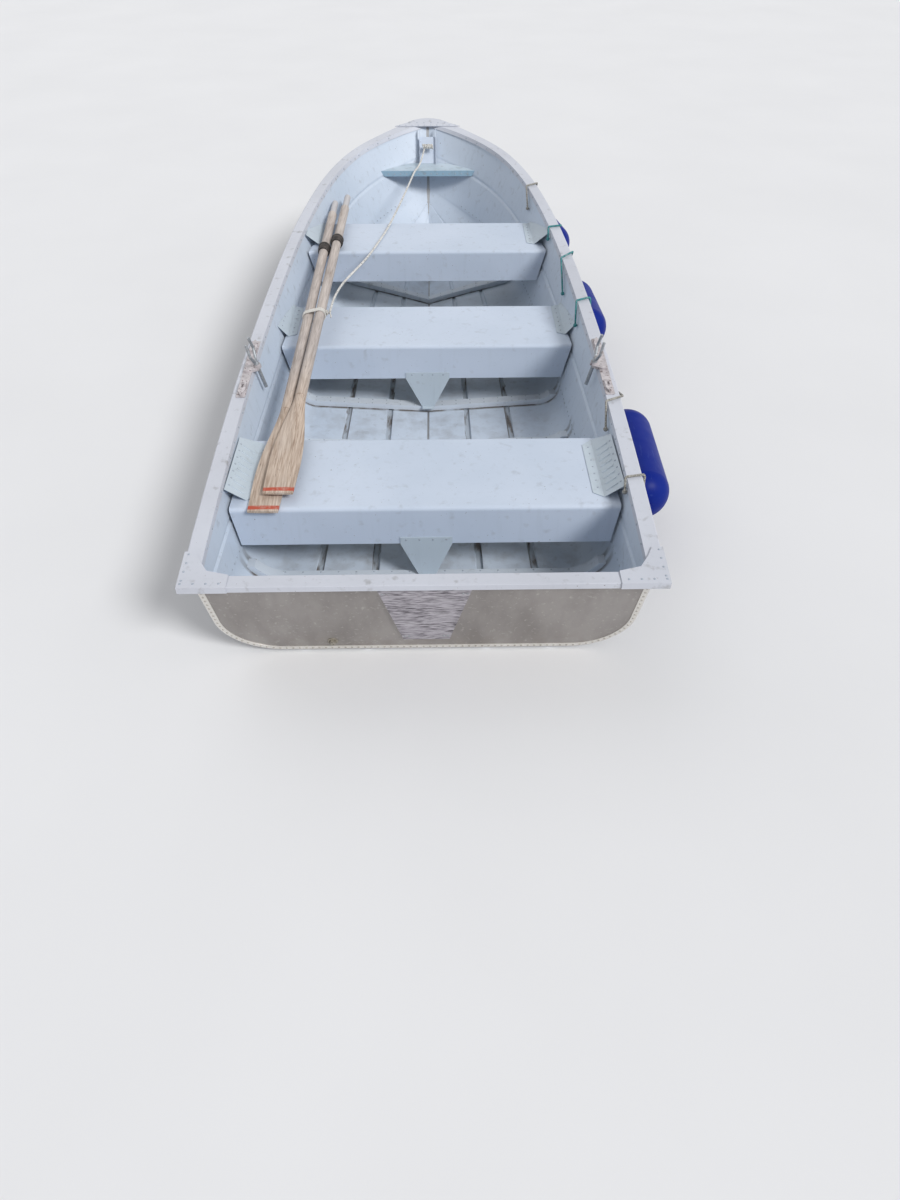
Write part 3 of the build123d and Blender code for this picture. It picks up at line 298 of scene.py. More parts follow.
transom_metal = bare_sheet("weathered mill aluminium", "a19c99", "7f7a77", 0.65, 0.42)
outer_metal = bare_sheet("weathered hull aluminium", "a8a8aa", "8d8d8f", 0.6, 0.40,
                         grain=(1.0, 9.0, 1.0))
strip_metal = bare_sheet("worn bright aluminium", "e2dfda", "cbc7c1", 0.4, 0.40, splashes=0.15)
rivet_metal = bare_sheet("dulled rivet aluminium", "bdb8b1", "96918a", 0.5, 0.45)
print("bare metals:", transom_metal.name, outer_metal.name, strip_metal.name)

# %% [markdown]
# ## Finding places on the sheets
#
# Rivets, the seats' end strips and the mud in the runners all lie on pieces that are already
# there. A ray that is cast at a piece's faces answers with the place where it meets them, and
# with the way they face there. That keeps every rivet on the sheet, even where it curves.

# %% Rays at the pieces
def surface(*nodes):
    """The faces of some pieces, ready for rays."""
    places, faces = [], []
    for node in nodes:
        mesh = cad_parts[node].data
        start = len(places)
        places += [v.co.copy() for v in mesh.vertices]
        faces += [[start + i for i in face.vertices] for face in mesh.polygons]
    return BVHTree.FromPolygons(places, faces)


def touch(faces, start, direction):
    """Where a ray meets the faces, and the way they face there, or None."""
    place, facing, _, _ = faces.ray_cast(Vector(start), Vector(direction))
    return None if place is None else (place, facing)


down, ahead, astern = (0.0, 0.0, -1.0), (0.0, 1.0, 0.0), (0.0, -1.0, 0.0)
overhead = 0.9                         # rays from above start at this height,
well_astern, well_ahead = -0.5, 4.0    # and rays along the boat at these places on Y
shelf_hit = touch(surface("bow_shelf"), (0.0, 3.30, overhead), down)
print("a ray meets the bow shelf", round(shelf_hit[0].z, 3), "m above the ground")

# %% [markdown]
# The hull's sheets are painted inside and bare outside, and one solid holds both faces. Each
# face of the mesh can point at another material slot, so the faces that look outwards
# get the bare metal, and no vertex is touched.

# %% Hull sheets, inside and outside
core_height = 0.42                     # a line inside the boat that its inner faces look to,
core_end = 2.4                         # which ends well short of the bow
aft_edges = 0.15                       # sheet edges that look aft lie behind this
looks_aft = -0.5                       # a face does when its normal's Y is below this


def dress(node, *materials):
    """Give a piece of the frame these materials, the first of them everywhere."""
    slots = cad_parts[node].data.materials
    slots.clear()
    for material in materials:
        slots.append(material)


def looks_out(face):
    """True where a face points away from the middle of the boat, or is a sheet's aft edge."""
    core = Vector((0.0, min(face.center.y, core_end), core_height))
    cut_edge = face.center.y < aft_edges and face.normal.y < looks_aft
    return cut_edge or face.normal.dot(face.center - core) > 0


def in_channel(face, floor, reach=0.026, depth=0.004):
    """True where the floor is higher on both sides of a face, by depth on average."""
    x, y, z = face.center
    beside = [touch(floor, (x + step, y, overhead), down) for step in (-reach, reach)]
    if None in beside:
        return False
    rises = [place.z - z for place, _ in beside]
    return min(rises) > depth / 2 and sum(rises) / 2 > depth


for side in ("port", "starboard"):
    for sheet in ("bottom", "side"):
        node = f"{sheet}_{side}"
        dress(node, hull_enamel, outer_metal, silted_enamel)
        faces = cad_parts[node].data.polygons
        floor_faces = surface(node)
        for face in faces:
            channel = sheet == "bottom" and in_channel(face, floor_faces)
            face.material_index = 1 if looks_out(face) else 2 if channel else 0
        kinds = [face.material_index for face in faces]
        print(node, kinds.count(1), "faces outside,", kinds.count(2), "in the runners")

dress("transom", hull_enamel, transom_metal)
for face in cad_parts["transom"].data.polygons:
    face.material_index = 1 if face.normal.y < looks_aft else 0

# %% [markdown]
# ## The other painted and bare pieces
#
# The rest of the metal has one finish per piece. The motor pad is worn by clamps, which have
# scored its paint along the boat's width, most of all in a few crowded places.

# %% Motor pad
def build_pad(tree):
    """Matt lilac-grey paint, scored by clamps across the boat, with dark lines in the scores."""
    scores = patches(tree, 0.0034, 0.45, 0.60, stretch=(10.0, 1.0, 1.0), detail=9.0)
    crowded = patches(tree, 0.030, 0.22, 0.56, stretch=(3.0, 1.0, 1.0), detail=6.0, shift=6.0)
    colour = tint(tree, "b2adb4", scores, "48434a", crowded)
    worn = patches(tree, 0.018, 0.50, 0.72, stretch=(5.0, 1.0, 1.0), detail=8.0, shift=2.0)
    colour = tint(tree, colour, worn, "c9c5ca", 0.4)
    return {"Base Color": colour, "Roughness": 0.62, "Normal": relief(tree, scores, -0.0004)}


pad_paint = finish_material("scored lilac-grey paint", build_pad)
print("pad:", pad_paint.name)

# %% [markdown]
# The small fittings start from three real metals: steel dipped in zinc for the rowlocks and
# the bow eye, a painted sand casting for their sockets, and brass for the drain plug.

# %% Zinc, casting and brass
def build_zinc(tree):
    """Hot-dip galvanised steel: grey crystals of about 7 mm, and rust in a few places."""
    spangle = patches(tree, 0.007, 0.35, 0.68, detail=3.0)
    colour = tint(tree, "93979c", spangle, "b0b4b8")
    rust = patches(tree, 0.02, 0.58, 0.72, detail=8.0, shift=3.0)
    colour = tint(tree, colour, rust, "7a5a45", 0.5)
    return {"Base Color": colour, "Metallic": 0.7, "Roughness": 0.52,
            "Normal": relief(tree, spangle, 0.0001)}


def build_casting(tree):
    """A sand-cast socket under worn pinkish paint, which is gritty and chipped to brown."""
    skin = patches(tree, 0.02, 0.38, 0.66, detail=8.0)
    colour = tint(tree, "cac4c6", skin, "aca6a8")
    chips = patches(tree, 0.011, 0.60, 0.66, detail=6.0, shift=2.0)
    colour = tint(tree, colour, chips, "5c4445", 0.8)
    grit = patches(tree, 0.0025, 0.2, 0.8, detail=4.0)
    return {"Base Color": colour, "Metallic": 0.25, "Roughness": 0.60,
            "Normal": relief(tree, grit, 0.00025)}


def build_brass(tree):
    """Turned brass, greyed by weather, so that only a dull metal shine is left."""
    tarnish = patches(tree, 0.01, 0.36, 0.64)
    colour = tint(tree, "b8b2a6", tarnish, "6e6860")
    return {"Base Color": colour, "Metallic": 0.8, "Roughness": 0.48,
            "Normal": relief(tree, tarnish, 0.0001)}


zinc = finish_material("galvanised steel", build_zinc)
casting = finish_material("painted casting", build_casting)
brass = finish_material("tarnished brass", build_brass)
print("fittings:", zinc.name, casting.name, brass.name)

# %% [markdown]
# The bow shelf has its own enamel, because its turned-down lip shows an older coat. The lip
# is found by its place along the boat.

# %% Bow shelf
lip_from = 3.243                       # the bow shelf's lip is aft of this


def build_shelf(tree):
    """Enamel like the hull's, with an older blue coat that shows on the turned-down lip."""
    clouds = patches(tree, 0.14, 0.38, 0.66)
    colour = tint(tree, "c8d4de", clouds, "b3c2cc")
    lip = between(tree, "Y", lip_from, lip_from - 0.005)
    colour = tint(tree, colour, lip, "8fb0c4", 0.85)
    grime = patches(tree, 0.03, 0.55, 0.74, detail=9.0, shift=7.0)
    colour = tint(tree, colour, grime, "7d7f7c", 0.4)
    return {"Base Color": colour, "Roughness": 0.56,
            "Normal": relief(tree, patches(tree, 0.10, 0.2, 0.8, detail=1.0), 0.0015)}


shelf_enamel = finish_material("shelf enamel", build_shelf)
print("bow shelf:", shelf_enamel.name)

# %% [markdown]
# ## Weathered wood
#
# The oars are spruce that has lost its varnish. Sun turns it silver-grey on the shaft, the
# blades keep more of the warm brown, and the grain opens into dark cracks along the oar.
# Grain is noise drawn out along Y: a year ring is about 3 mm wide and runs for decimetres.
# Red paint survives only as a worn band across the blade's tip, thinner in clouds.

# %% Oar wood
# places forward of a blade's tip, in metres: the red band, the stretch over which the blade's
# warm brown turns to silver, and the start of the grip
band_from, band_to = 0.009, 0.031
warm_until, silver_from = 0.50, 0.85
grip_from = 2.29


def oar_wood(name, tip):
    """Silver-grey wood with warm blades, and a worn red band near the tip's place along Y."""
    def build(tree):
        grain = patches(tree, 0.0045, 0.34, 0.72, stretch=(1.0, 110.0, 1.0), detail=6.0)
        silver = tint(tree, "c3b9b3", grain, "958b85")
        warm = tint(tree, "cdbcac", grain, "9a8372")
        blade = between(tree, "Y", tip + silver_from, tip + warm_until)
        colour = tint(tree, silver, blade, warm)
        bleached = patches(tree, 0.05, 0.46, 0.74, stretch=(1.0, 7.0, 1.0), shift=3.0)
        colour = tint(tree, colour, bleached, "e0d6cc", 0.5)
        soiled = patches(tree, 0.03, 0.55, 0.76, stretch=(1.0, 5.0, 1.0), detail=8.0, shift=8.0)
        colour = tint(tree, colour, soiled, "83705f", 0.5)
        cracks = patches(tree, 0.0022, 0.67, 0.74, stretch=(1.0, 150.0, 1.0), detail=3.0,
                         shift=5.0)
        colour = tint(tree, colour, cracks, "55463c", 0.8)
        grip = between(tree, "Y", tip + grip_from, tip + grip_from + 0.004)
        colour = tint(tree, colour, grip, "c3c5cb", 0.55)
        tail = between(tree, "Y", tip + band_from, tip + band_from + 0.003)
        head = between(tree, "Y", tip + band_to, tip + band_to - 0.005)
        thin = patches(tree, 0.014, 0.30, 0.55, detail=4.0, shift=6.5)
        paint = add_node(tree, "ShaderNodeMapRange",
                         {"Value": thin, "To Min": 0.55, "To Max": 0.95})
        band = both(tree, both(tree, tail, head), paint.outputs["Result"])
        colour = tint(tree, colour, band, "b4472f")
        normal = relief(tree, cracks, -0.0006, relief(tree, grain, 0.00025))
        return {"Base Color": colour, "Roughness": 0.78, "Normal": normal}
    return finish_material(name, build)


for node in ("oar_outer", "oar_inner"):
    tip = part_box(node)[0].y
    dress(node, oar_wood(f"weathered spruce {node[4:]}", tip))
    print(node, "blade tip at", round(tip, 3), "m")

# %% [markdown]
# ## Rubber, vinyl and cord
#
# Rubber is dark with a dusty bloom. The fenders are soft moulded vinyl: saturated blue with a
# smooth satin face, chalky where they rub. The foam inside the seats only shows from below.

# %% Rubber and vinyl
def build_rubber(tree):
    """Moulded black rubber, greyed by a dusty bloom."""
    bloom = patches(tree, 0.015, 0.38, 0.70, detail=7.0)
    colour = tint(tree, "221e1d", bloom, "4a423f")
    return {"Base Color": colour, "Roughness": 0.72,
            "Normal": relief(tree, patches(tree, 0.002, 0.2, 0.8), 0.00015)}


def build_vinyl(tree):
    """Moulded vinyl in deep blue: a smooth satin face with faint chalk and scuffs."""
    chalk = patches(tree, 0.09, 0.48, 0.78, detail=8.0)
    colour = tint(tree, "06207c", chalk, "1a3588", 0.25)
    scuffs = patches(tree, 0.012, 0.62, 0.70, stretch=(1.0, 6.0, 1.0), detail=6.0, shift=3.0)
    colour = tint(tree, colour, scuffs, "45589a", 0.25)
    shine = add_node(tree, "ShaderNodeMapRange", {"Value": chalk, "To Min": 0.42, "To Max": 0.62})
    dimples = patches(tree, 0.07, 0.2, 0.8, detail=1.0)
    return {"Base Color": colour, "Roughness": shine.outputs["Result"],
            "Specular IOR Level": 0.12, "Normal": relief(tree, dimples, 0.0015)}


def build_foam(tree):
    """Closed-cell foam board, off-white, with cells of about 4 mm."""
    cells = patches(tree, 0.004, 0.3, 0.7, detail=2.0)
    return {"Base Color": tint(tree, "dcd8cc", cells, "c8c2b2"), "Roughness": 0.9,
            "Normal": relief(tree, cells, 0.0006)}


rubber = finish_material("dusty rubber", build_rubber)
vinyl = finish_material("blue moulded vinyl", build_vinyl)
foam = finish_material("closed-cell foam", build_foam)
print("soft finishes:", rubber.name, vinyl.name, foam.name)

# %% [markdown]
# A braid has two sets of strands that cross at an angle, and a pair of waves across the tube's
# own UV map draws it. A strand on top catches the light, and the hollows between are painted
# darker: painted shade, with some dirt. The fender lanyards come with the frame and have no UV
# map, so their twist, with its painted light and shade, is drawn on object coordinates. The
# middle ones are dyed teal.

# %% Braided cord and lanyards
def braided_cord(name, yarn, shade, fleck=None, strands=8.0, plaits_per_metre=85.0):
    """Braid drawn on a tube whose UV map is turns around it and metres along it."""
    def build(tree):
        along = add_node(tree, "ShaderNodeUVMap", uv_map="around and along").outputs["UV"]
        apart = add_node(tree, "ShaderNodeSeparateXYZ", {"Vector": along})
        ridges = []
        for lean in (1.0, -1.0):
            turns = both(tree, apart.outputs["X"], strands * math.tau / 2 * lean)
            plaits = both(tree, apart.outputs["Y"], plaits_per_metre * math.tau)
            ridges.append(both(tree, both(tree, plaits, turns, "ADD"), 0.0, "SINE"))
        weave = both(tree, ridges[0], ridges[1], "MAXIMUM")
        hollow_shade = add_node(tree, "ShaderNodeMapRange",
                          {"Value": weave, "From Min": 0.9, "From Max": -0.2}).outputs["Result"]
        # the hollows between the strands get painted shade, and some dirt
        colour = tint(tree, yarn, hollow_shade, shade, 0.75)
        soil = patches(tree, 0.05, 0.45, 0.72, detail=8.0)
        colour = tint(tree, colour, soil, "8f8b84", 0.35)
        if fleck:
            marks = patches(tree, 0.006, 0.63, 0.66, detail=1.0, shift=9.0)
            colour = tint(tree, colour, marks, fleck)
        return {"Base Color": colour, "Roughness": 0.85, "Sheen Weight": 0.25,
                "Normal": relief(tree, weave, 0.0005)}
    return finish_material(name, build)


white_braid = braided_cord("white braided polyester", "e9e7e2", "b9b6ae", fleck="2f3136")
grey_braid = braided_cord("weathered lashing cord", "ece9e3", "b0aba2", plaits_per_metre=150.0)


teal_from, teal_to, teal_blend = 1.30, 2.58, 0.02      # along the boat, for the middle ones


def build_lanyard(tree):
    """Three-strand cord gone grey, salt-bleached in patches, and teal on the middle ones."""
    twist = patches(tree, 0.0035, 0.38, 0.62, detail=2.0)
    # the twist's darker patches are painted shade between the strands, in grey and in teal
    colour = tint(tree, "b3b0a8", twist, "66645f")
    teal = both(tree, between(tree, "Y", teal_from, teal_from + teal_blend),
                between(tree, "Y", teal_to, teal_to - teal_blend))
    colour = tint(tree, colour, teal, tint(tree, "4f9a9c", twist, "1f5f66"))
    salt = patches(tree, 0.02, 0.52, 0.72, detail=6.0, shift=4.0)
    colour = tint(tree, colour, salt, "b9b9b4", 0.4)
    return {"Base Color": colour, "Roughness": 0.85, "Normal": relief(tree, twist, 0.0005)}


lanyard_cord = finish_material("faded lanyard cord", build_lanyard)
print("cords:", white_braid.name, grey_braid.name, lanyard_cord.name)

# %% [markdown]
# ## Which piece gets which finish
#
# One table gives each finish its pieces, so that what is made of what can be read at a glance.

# %% Finishes of the frame's pieces
finishes = {
    rail_enamel: ("gunwale_port", "gunwale_starboard", "transom_cap", "corner_plates", "bow_cap"),
    seat_enamel: ("thwart_aft", "thwart_mid", "thwart_front", "bow_post"),
    bracket_enamel: ("brackets_aft", "brackets_mid", "brackets_front", "knee_plates"),
    rib_enamel: ("floor_ribs",),
    shelf_enamel: ("bow_shelf",),
    strip_metal: ("transom_edge",),
    outer_metal: ("keel_strip", "stem_band"),
    pad_paint: ("motor_pad",),
    zinc: ("bow_eye", "rowlock_starboard", "rowlock_port"),
    casting: ("rowlock_socket_starboard", "rowlock_socket_port"),
    brass: ("drain_plug",),
    vinyl: ("fender_aft", "fender_mid", "fender_front"),
    lanyard_cord: ("fender_lanyards",),
    foam: ("seat_foam",),
}
for material, nodes in finishes.items():
    for node in nodes:
        dress(node, material)
print("dressed", sum(len(nodes) for nodes in finishes.values()), "pieces")

# %% [markdown]
# ## The bow line
#
# A slack line runs from its turns on the bow post to the lashed oars. A NURBS curve with
# few points is smooth by itself, as rope is, and a tube then follows it. The tube
# carries a UV map of turns and metres for the braid.

# %% New pieces
def new_piece(name, mesh, material):
    """A mesh as a piece that rides on the hull and takes its finish from a slot."""
    piece = in_scene(name, mesh)
    mesh.materials.clear()
    mesh.materials.append(material)
    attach(piece, "hull")
    return piece


print("new pieces ride on the hull")

# %% [markdown]
# The tube is a ring of corners on each point of the path, square to it. Each ring takes its
# first direction from the last one, so that the tube never twists between two points.

# %% Tubes along a path
tube_sides = 14


def tube_mesh(name, path, radius):
    """A closed tube along a path, with a UV map of turns around and metres along."""
    points = [Vector(p) for p in path]
    tangents = [(points[min(i + 1, len(points) - 1)] - points[max(i - 1, 0)]).normalized()
                for i in range(len(points))]
    across = tangents[0].orthogonal().normalized()
    places, stations, run = [], [], 0.0
    for i, (point, along) in enumerate(zip(points, tangents)):
        across = (across - along * across.dot(along)).normalized()
        upward = along.cross(across)
        for k in range(tube_sides):
            turn = math.tau * k / tube_sides
            places.append(point + (across * math.cos(turn) + upward * math.sin(turn)) * radius)
        run += (point - points[i - 1]).length if i else 0.0
        stations.append(run)
    faces, corners = [], []
    for i in range(len(points) - 1):
        here, there = stations[i], stations[i + 1]
        for k in range(tube_sides):
            after = (k + 1) % tube_sides
            a, b = i * tube_sides, (i + 1) * tube_sides
            faces.append((a + k, a + after, b + after, b + k))
            left, right = k / tube_sides, (k + 1) / tube_sides
            corners += [(left, here), (right, here), (right, there), (left, there)]
    for i, order in ((0, -1), (len(points) - 1, 1)):
        ring = [i * tube_sides + k for k in range(tube_sides)][::order]
        faces.append(tuple(ring))
        corners += [(0.0, stations[i])] * tube_sides
    mesh = bpy.data.meshes.new(name)
    mesh.from_pydata(places, [], faces)
    layer = mesh.uv_layers.new(name="around and along")
    for loop, corner in zip(layer.data, corners):
        loop.uv = corner
    for face in mesh.polygons:
        face.use_smooth = len(face.vertices) == 4
    return mesh


def braid_piece(name, path, radius, braid):
    """A braided tube along a path, as a piece."""
    return new_piece(name, tube_mesh(name, path, radius), braid)


print("a tube has", tube_sides, "sides")

# %% [markdown]
# A NURBS curve of order 3 passes near its control points and never overshoots them. It is
# read back as a list of points, because the tube needs that list.

# %% Smooth paths
def smooth_path(name, route, resolution=10):
    """Points along a NURBS curve whose control points are the route's."""
    curve = bpy.data.curves.new(name + "_route", "CURVE")
    curve.dimensions = "3D"
    curve.resolution_u = resolution
    spline = curve.splines.new("NURBS")
    spline.points.add(len(route) - 1)
    for point, place in zip(spline.points, route):
        point.co = (*place, 1.0)
    spline.order_u = 3
    spline.use_endpoint_u = True
    holder = in_scene(name + "_route", curve)
    line = bpy.data.meshes.new_from_object(holder)
    path = [v.co.copy() for v in line.vertices]
    bpy.data.objects.remove(holder)
    bpy.data.meshes.remove(line)
    return path


def path_length(path):
    """The length of a path of points."""
    return sum((b - a).length for a, b in zip(path, path[1:]))


print("paths are read back from curves")

# %% [markdown]
# The line leaves its turns, drops over the shelf's lip, lies on the front seat and ends at the
# lashing. Its points are listed one by one, closer together where it bends over an edge.

# %% Bow line
line_radius = 0.005
bow_route = [
    (-0.020, 3.3755, 0.5498),
    (-0.034, 3.322, 0.512),
    (-0.054, 3.266, 0.487),
    (-0.074, 3.208, 0.484),
    (-0.100, 3.075, 0.464),
    (-0.126, 2.937, 0.449),
    (-0.151, 2.798, 0.438),
    (-0.175, 2.660, 0.431),
    (-0.198, 2.530, 0.4246),
    (-0.223, 2.400, 0.4241),
    (-0.251, 2.275, 0.4246),
    (-0.278, 2.165, 0.422),
    (-0.312, 2.070, 0.416),
    (-0.350, 1.982, 0.409),
    (-0.384, 1.890, 0.405),
    (-0.404, 1.790, 0.405),
    (-0.413, 1.690, 0.409),
    (-0.413, 1.615, 0.415),
    (-0.414, 1.565, 0.419),
]
bow_path = smooth_path("bow_line", bow_route)
bow_line = braid_piece("bow_line_braid", bow_path, line_radius, white_braid)
print("bow line", round(path_length(bow_path), 3), "m over", len(bow_path), "points")

# %% [markdown]
# The turns on the bow post are a short helix of the same cord, wound on itself. A helix is
# a formula, so a loop works its points out.

# %% Turns on the post
knot_low, knot_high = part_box("bow_line_knot")
knot_centre = (knot_low + knot_high) / 2
knot_reach = (knot_high - knot_low).z / 2 - line_radius
turn_pitch = 2 * line_radius * 1.02    # one turn lies close beside the next
turn_count = (knot_high.x - knot_low.x - 2 * line_radius) / turn_pitch
turn_steps = 28
uneven = 0.07                          # turns laid by hand differ this much in size

knot_path = []
for i in range(int(turn_count * turn_steps) + 1):
    angle = math.tau * i / turn_steps
    swell = knot_reach * (1 - uneven + uneven * math.sin(angle * 0.37))
    knot_path.append(Vector((knot_low.x + line_radius + turn_pitch * i / turn_steps,
                             knot_centre.y + swell * math.cos(angle),
                             knot_centre.z + swell * math.sin(angle))))
bow_turns = braid_piece("bow_line_turns", knot_path, line_radius, white_braid)
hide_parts("bow_line")
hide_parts("bow_line_knot")
print("turns on the post:", round(turn_count, 1))

# %% [markdown]
# ## Rivets
#
# The whole boat is held by rivets, several hundred of them, and their rows are what says
# "sheet metal" from a step away. Geometry Nodes place them: a row is a line on the surface,
# resampled at the rivets' spacing, and a low dome stands on each point, turned to face
# the way the surface does. The rows themselves are found by casting rays at the pieces.

# %% A node tree for rivets
dome_segments = 10
dome_rings = 6


def rivet_nodes():
    """Lines with a facing on each point go in, and rows of domed heads come out."""
    tree = bpy.data.node_groups.new("rivets along rows", "GeometryNodeTree")
    for name, kind in (("Rows", "NodeSocketGeometry"), ("Spacing", "NodeSocketFloat"),
                       ("Head radius", "NodeSocketFloat"), ("Head height", "NodeSocketFloat"),
                       ("Metal", "NodeSocketMaterial")):
        tree.interface.new_socket(name, in_out="INPUT", socket_type=kind)
    tree.interface.new_socket("Rivets", in_out="OUTPUT", socket_type="NodeSocketGeometry")
    given = add_node(tree, "NodeGroupInput").outputs
    lines = add_node(tree, "GeometryNodeMeshToCurve", {"Mesh": given["Rows"]})
    spaced = add_node(tree, "GeometryNodeResampleCurve",
                      {"Curve": lines.outputs["Curve"], "Length": given["Spacing"]},
                      mode="LENGTH")
    facing = add_node(tree, "GeometryNodeInputNamedAttribute", {"Name": "facing"},
                      data_type="FLOAT_VECTOR")
    turned = add_node(tree, "FunctionNodeAlignRotationToVector",
                      {"Vector": facing.outputs["Attribute"]}, axis="Z")
    dome = add_node(tree, "GeometryNodeMeshUVSphere",
                    {"Segments": dome_segments, "Rings": dome_rings, "Radius": 1.0})
    radius = given["Head radius"]
    size = add_node(tree, "ShaderNodeCombineXYZ",
                    {"X": radius, "Y": radius, "Z": given["Head height"]})
    head = add_node(tree, "GeometryNodeTransform",
                    {"Geometry": dome.outputs["Mesh"], "Scale": size.outputs["Vector"]})
    heads = add_node(tree, "GeometryNodeInstanceOnPoints",
                     {"Points": spaced.outputs["Curve"], "Instance": head.outputs["Geometry"],
                      "Rotation": turned.outputs["Rotation"]})
    real = add_node(tree, "GeometryNodeRealizeInstances",
                    {"Geometry": heads.outputs["Instances"]})
    smooth = add_node(tree, "GeometryNodeSetShadeSmooth", {"Geometry": real.outputs["Geometry"]})
    metal = add_node(tree, "GeometryNodeSetMaterial",
                     {"Geometry": smooth.outputs["Geometry"], "Material": given["Metal"]})
    add_node(tree, "NodeGroupOutput", {"Rivets": metal.outputs["Geometry"]})
    return tree


rivet_tree = rivet_nodes()
print("rivet tree:", len(rivet_tree.nodes), "nodes,", dome_segments * dome_rings, "faces a head")

# %% [markdown]
# Each set of rows is one piece. Its lines go through the tree as a modifier, and what comes
# out is read back as a plain mesh, which any program can open.

# %% Rows of rivets as a piece
def rivet_rows(name, rows, spacing, radius, height, metal):
    """Rows of rivets as one piece. A row is a list of (place, facing)."""
    mesh = bpy.data.meshes.new(name + "_rows")
    places, edges, facings = [], [], []
    rows = [row for row in rows if len(row) > 1]
    for row in rows:
        edges += [(len(places) + i, len(places) + i + 1) for i in range(len(row) - 1)]
        places += [place for place, _ in row]
        facings += [facing for _, facing in row]
    mesh.from_pydata(places, edges, [])
    layer = mesh.attributes.new("facing", "FLOAT_VECTOR", "POINT")
    for item, facing in zip(layer.data, facings):
        item.vector = facing
    holder = in_scene(name + "_rows", mesh)
    modifier = holder.modifiers.new("rivets", "NODES")
    modifier.node_group = rivet_tree
    sockets = {item.name: item.identifier for item in rivet_tree.interface.items_tree}
    for key, value in (("Spacing", spacing), ("Head radius", radius), ("Head height", height),
                       ("Metal", metal)):
        modifier[sockets[key]] = value
    holder.update_tag()
    evaluated = holder.evaluated_get(bpy.context.evaluated_depsgraph_get())
    result = bpy.data.meshes.new_from_object(evaluated)
    bpy.data.objects.remove(holder)
    new_piece(name, result, metal)
    heads = len(result.polygons) // (dome_segments * dome_rings)
    print(name, len(rows), "rows,", heads, "rivets")


print("rows of rivets are ready to be laid")

# %% [markdown]
# A row of rivets starts as a row of rays at one piece. Along the sides, the height of a row
# comes from the sheet itself: level rays climb until they meet its lower edge.

# %% Rows of rays
def row_of(faces, starts, direction):
    """A row of the places where rays from these starts meet the faces."""
    return [hit for hit in (touch(faces, start, direction) for start in starts) if hit]


def steps(start, end, count):
    """Evenly spaced numbers from start to end, both included."""
    return [start + (end - start) * i / (count - 1) for i in range(count)]


def lower_edge(faces, side, y, low, high, step=0.003):
    """The lowest height at which a level ray from the middle meets these faces."""
    z = low
    while z < high and not touch(faces, (0.0, y, z), (side, 0.0, 0.0)):
        z += step
    return z


print("five steps from 0 to 1:", steps(0.0, 1.0, 5))

# %% [markdown]
# Two long rows run along each side: through the lap of side and bottom, and through the
# gunwale's inner leg. The lap shows its rivets inside and outside.

# %% Rivets along the sides
lap_span, rail_span = (0.03, 3.20), (-0.02, 3.36)      # where rows start and end, along Y
above_lap, above_rail_edge = 0.010, 0.008              # heights over the sheets' lower edges
lap_rows, rail_rows, outer_rows = [], [], []
for side, word in ((1.0, "starboard"), (-1.0, "port")):
    side_faces, rail_faces = surface(f"side_{word}"), surface(f"gunwale_{word}")
    outboard, inboard = (side, 0.0, 0.0), (-side, 0.0, 0.0)
    lap = [(y, lower_edge(side_faces, side, y, low=0.08, high=0.60) + above_lap)
           for y in steps(*lap_span, 65)]
    rail = [(y, lower_edge(rail_faces, side, y, low=0.34, high=0.66) + above_rail_edge)
            for y in steps(*rail_span, 70)]
    lap_rows.append(row_of(side_faces, [(0.0, y, z) for y, z in lap], outboard))
    outer_rows.append(row_of(surface(f"bottom_{word}"), [(side, y, z) for y, z in lap], inboard))
    rail_rows.append(row_of(rail_faces, [(0.0, y, z) for y, z in rail], outboard))

rivet_rows("lap_rivets", lap_rows, spacing=0.034, radius=0.0038, height=0.0020,
           metal=rivet_enamel)
rivet_rows("lap_rivets_outside", outer_rows, spacing=0.034, radius=0.0036, height=0.0017,
           metal=outer_metal)
rivet_rows("rail_rivets", rail_rows, spacing=0.088, radius=0.0042, height=0.0022,
           metal=rivet_enamel)

# %% [markdown]
# The transom is the face that the camera sees best. Its bright strip has a close row of
# rivets that follows the hull's outline: straight up both sides, round the bilge on an
# arc, and across the bottom. The outline is worked out in the transom's own leaning plane.

# %% Rivets round the transom
transom_lean = math.radians(14.0)
transom_sheet = 0.003
strip_thickness = 0.0016
strip_half_width = 0.0085
half_beam = 0.668                      # of the whole hull, over the skin
skin_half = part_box("transom_edge")[1].x
chine_half = 0.958 * half_beam         # at the transom, as the bilge's radius is
bilge_radius = 0.280 * half_beam
outline_bottom, outline_top = 0.0103, 0.3916
row_top, row_inset = 0.352, 0.001      # the row's upper end, and its step in from the strip


def on_transom(across, upward):
    """A point on the strip's face, from its place in the transom's own plane."""
    out = Vector((0.0, -math.cos(transom_lean), -math.sin(transom_lean)))
    along = Vector((0.0, -math.sin(transom_lean), math.cos(transom_lean)))
    proud = out * (transom_sheet + strip_thickness)
    return Vector((across, 0.0, 0.0)) + along * upward + proud, out


side_turn = math.atan2(skin_half - chine_half, outline_top - outline_bottom)
arc_centre = (chine_half - bilge_radius * math.tan((math.pi / 2 - side_turn) / 2),
              outline_bottom + bilge_radius)
row_radius = bilge_radius - strip_half_width
half_row = [(skin_half - strip_half_width - row_inset, row_top)]
for turn in steps(-side_turn, -math.pi / 2, 14):
    half_row.append((arc_centre[0] + row_radius * math.cos(turn),
                     arc_centre[1] + row_radius * math.sin(turn)))
outline = half_row + [(-across, upward) for across, upward in reversed(half_row)]
strip_row = [on_transom(*place) for place in outline]
rivet_rows("strip_rivets", [strip_row], spacing=0.021, radius=0.0038, height=0.0024,
           metal=rivet_metal)

# %% [markdown]
# Short rows hold the brackets and the knee plates. Each is a line of rays aimed at one piece,
# from above or from behind.

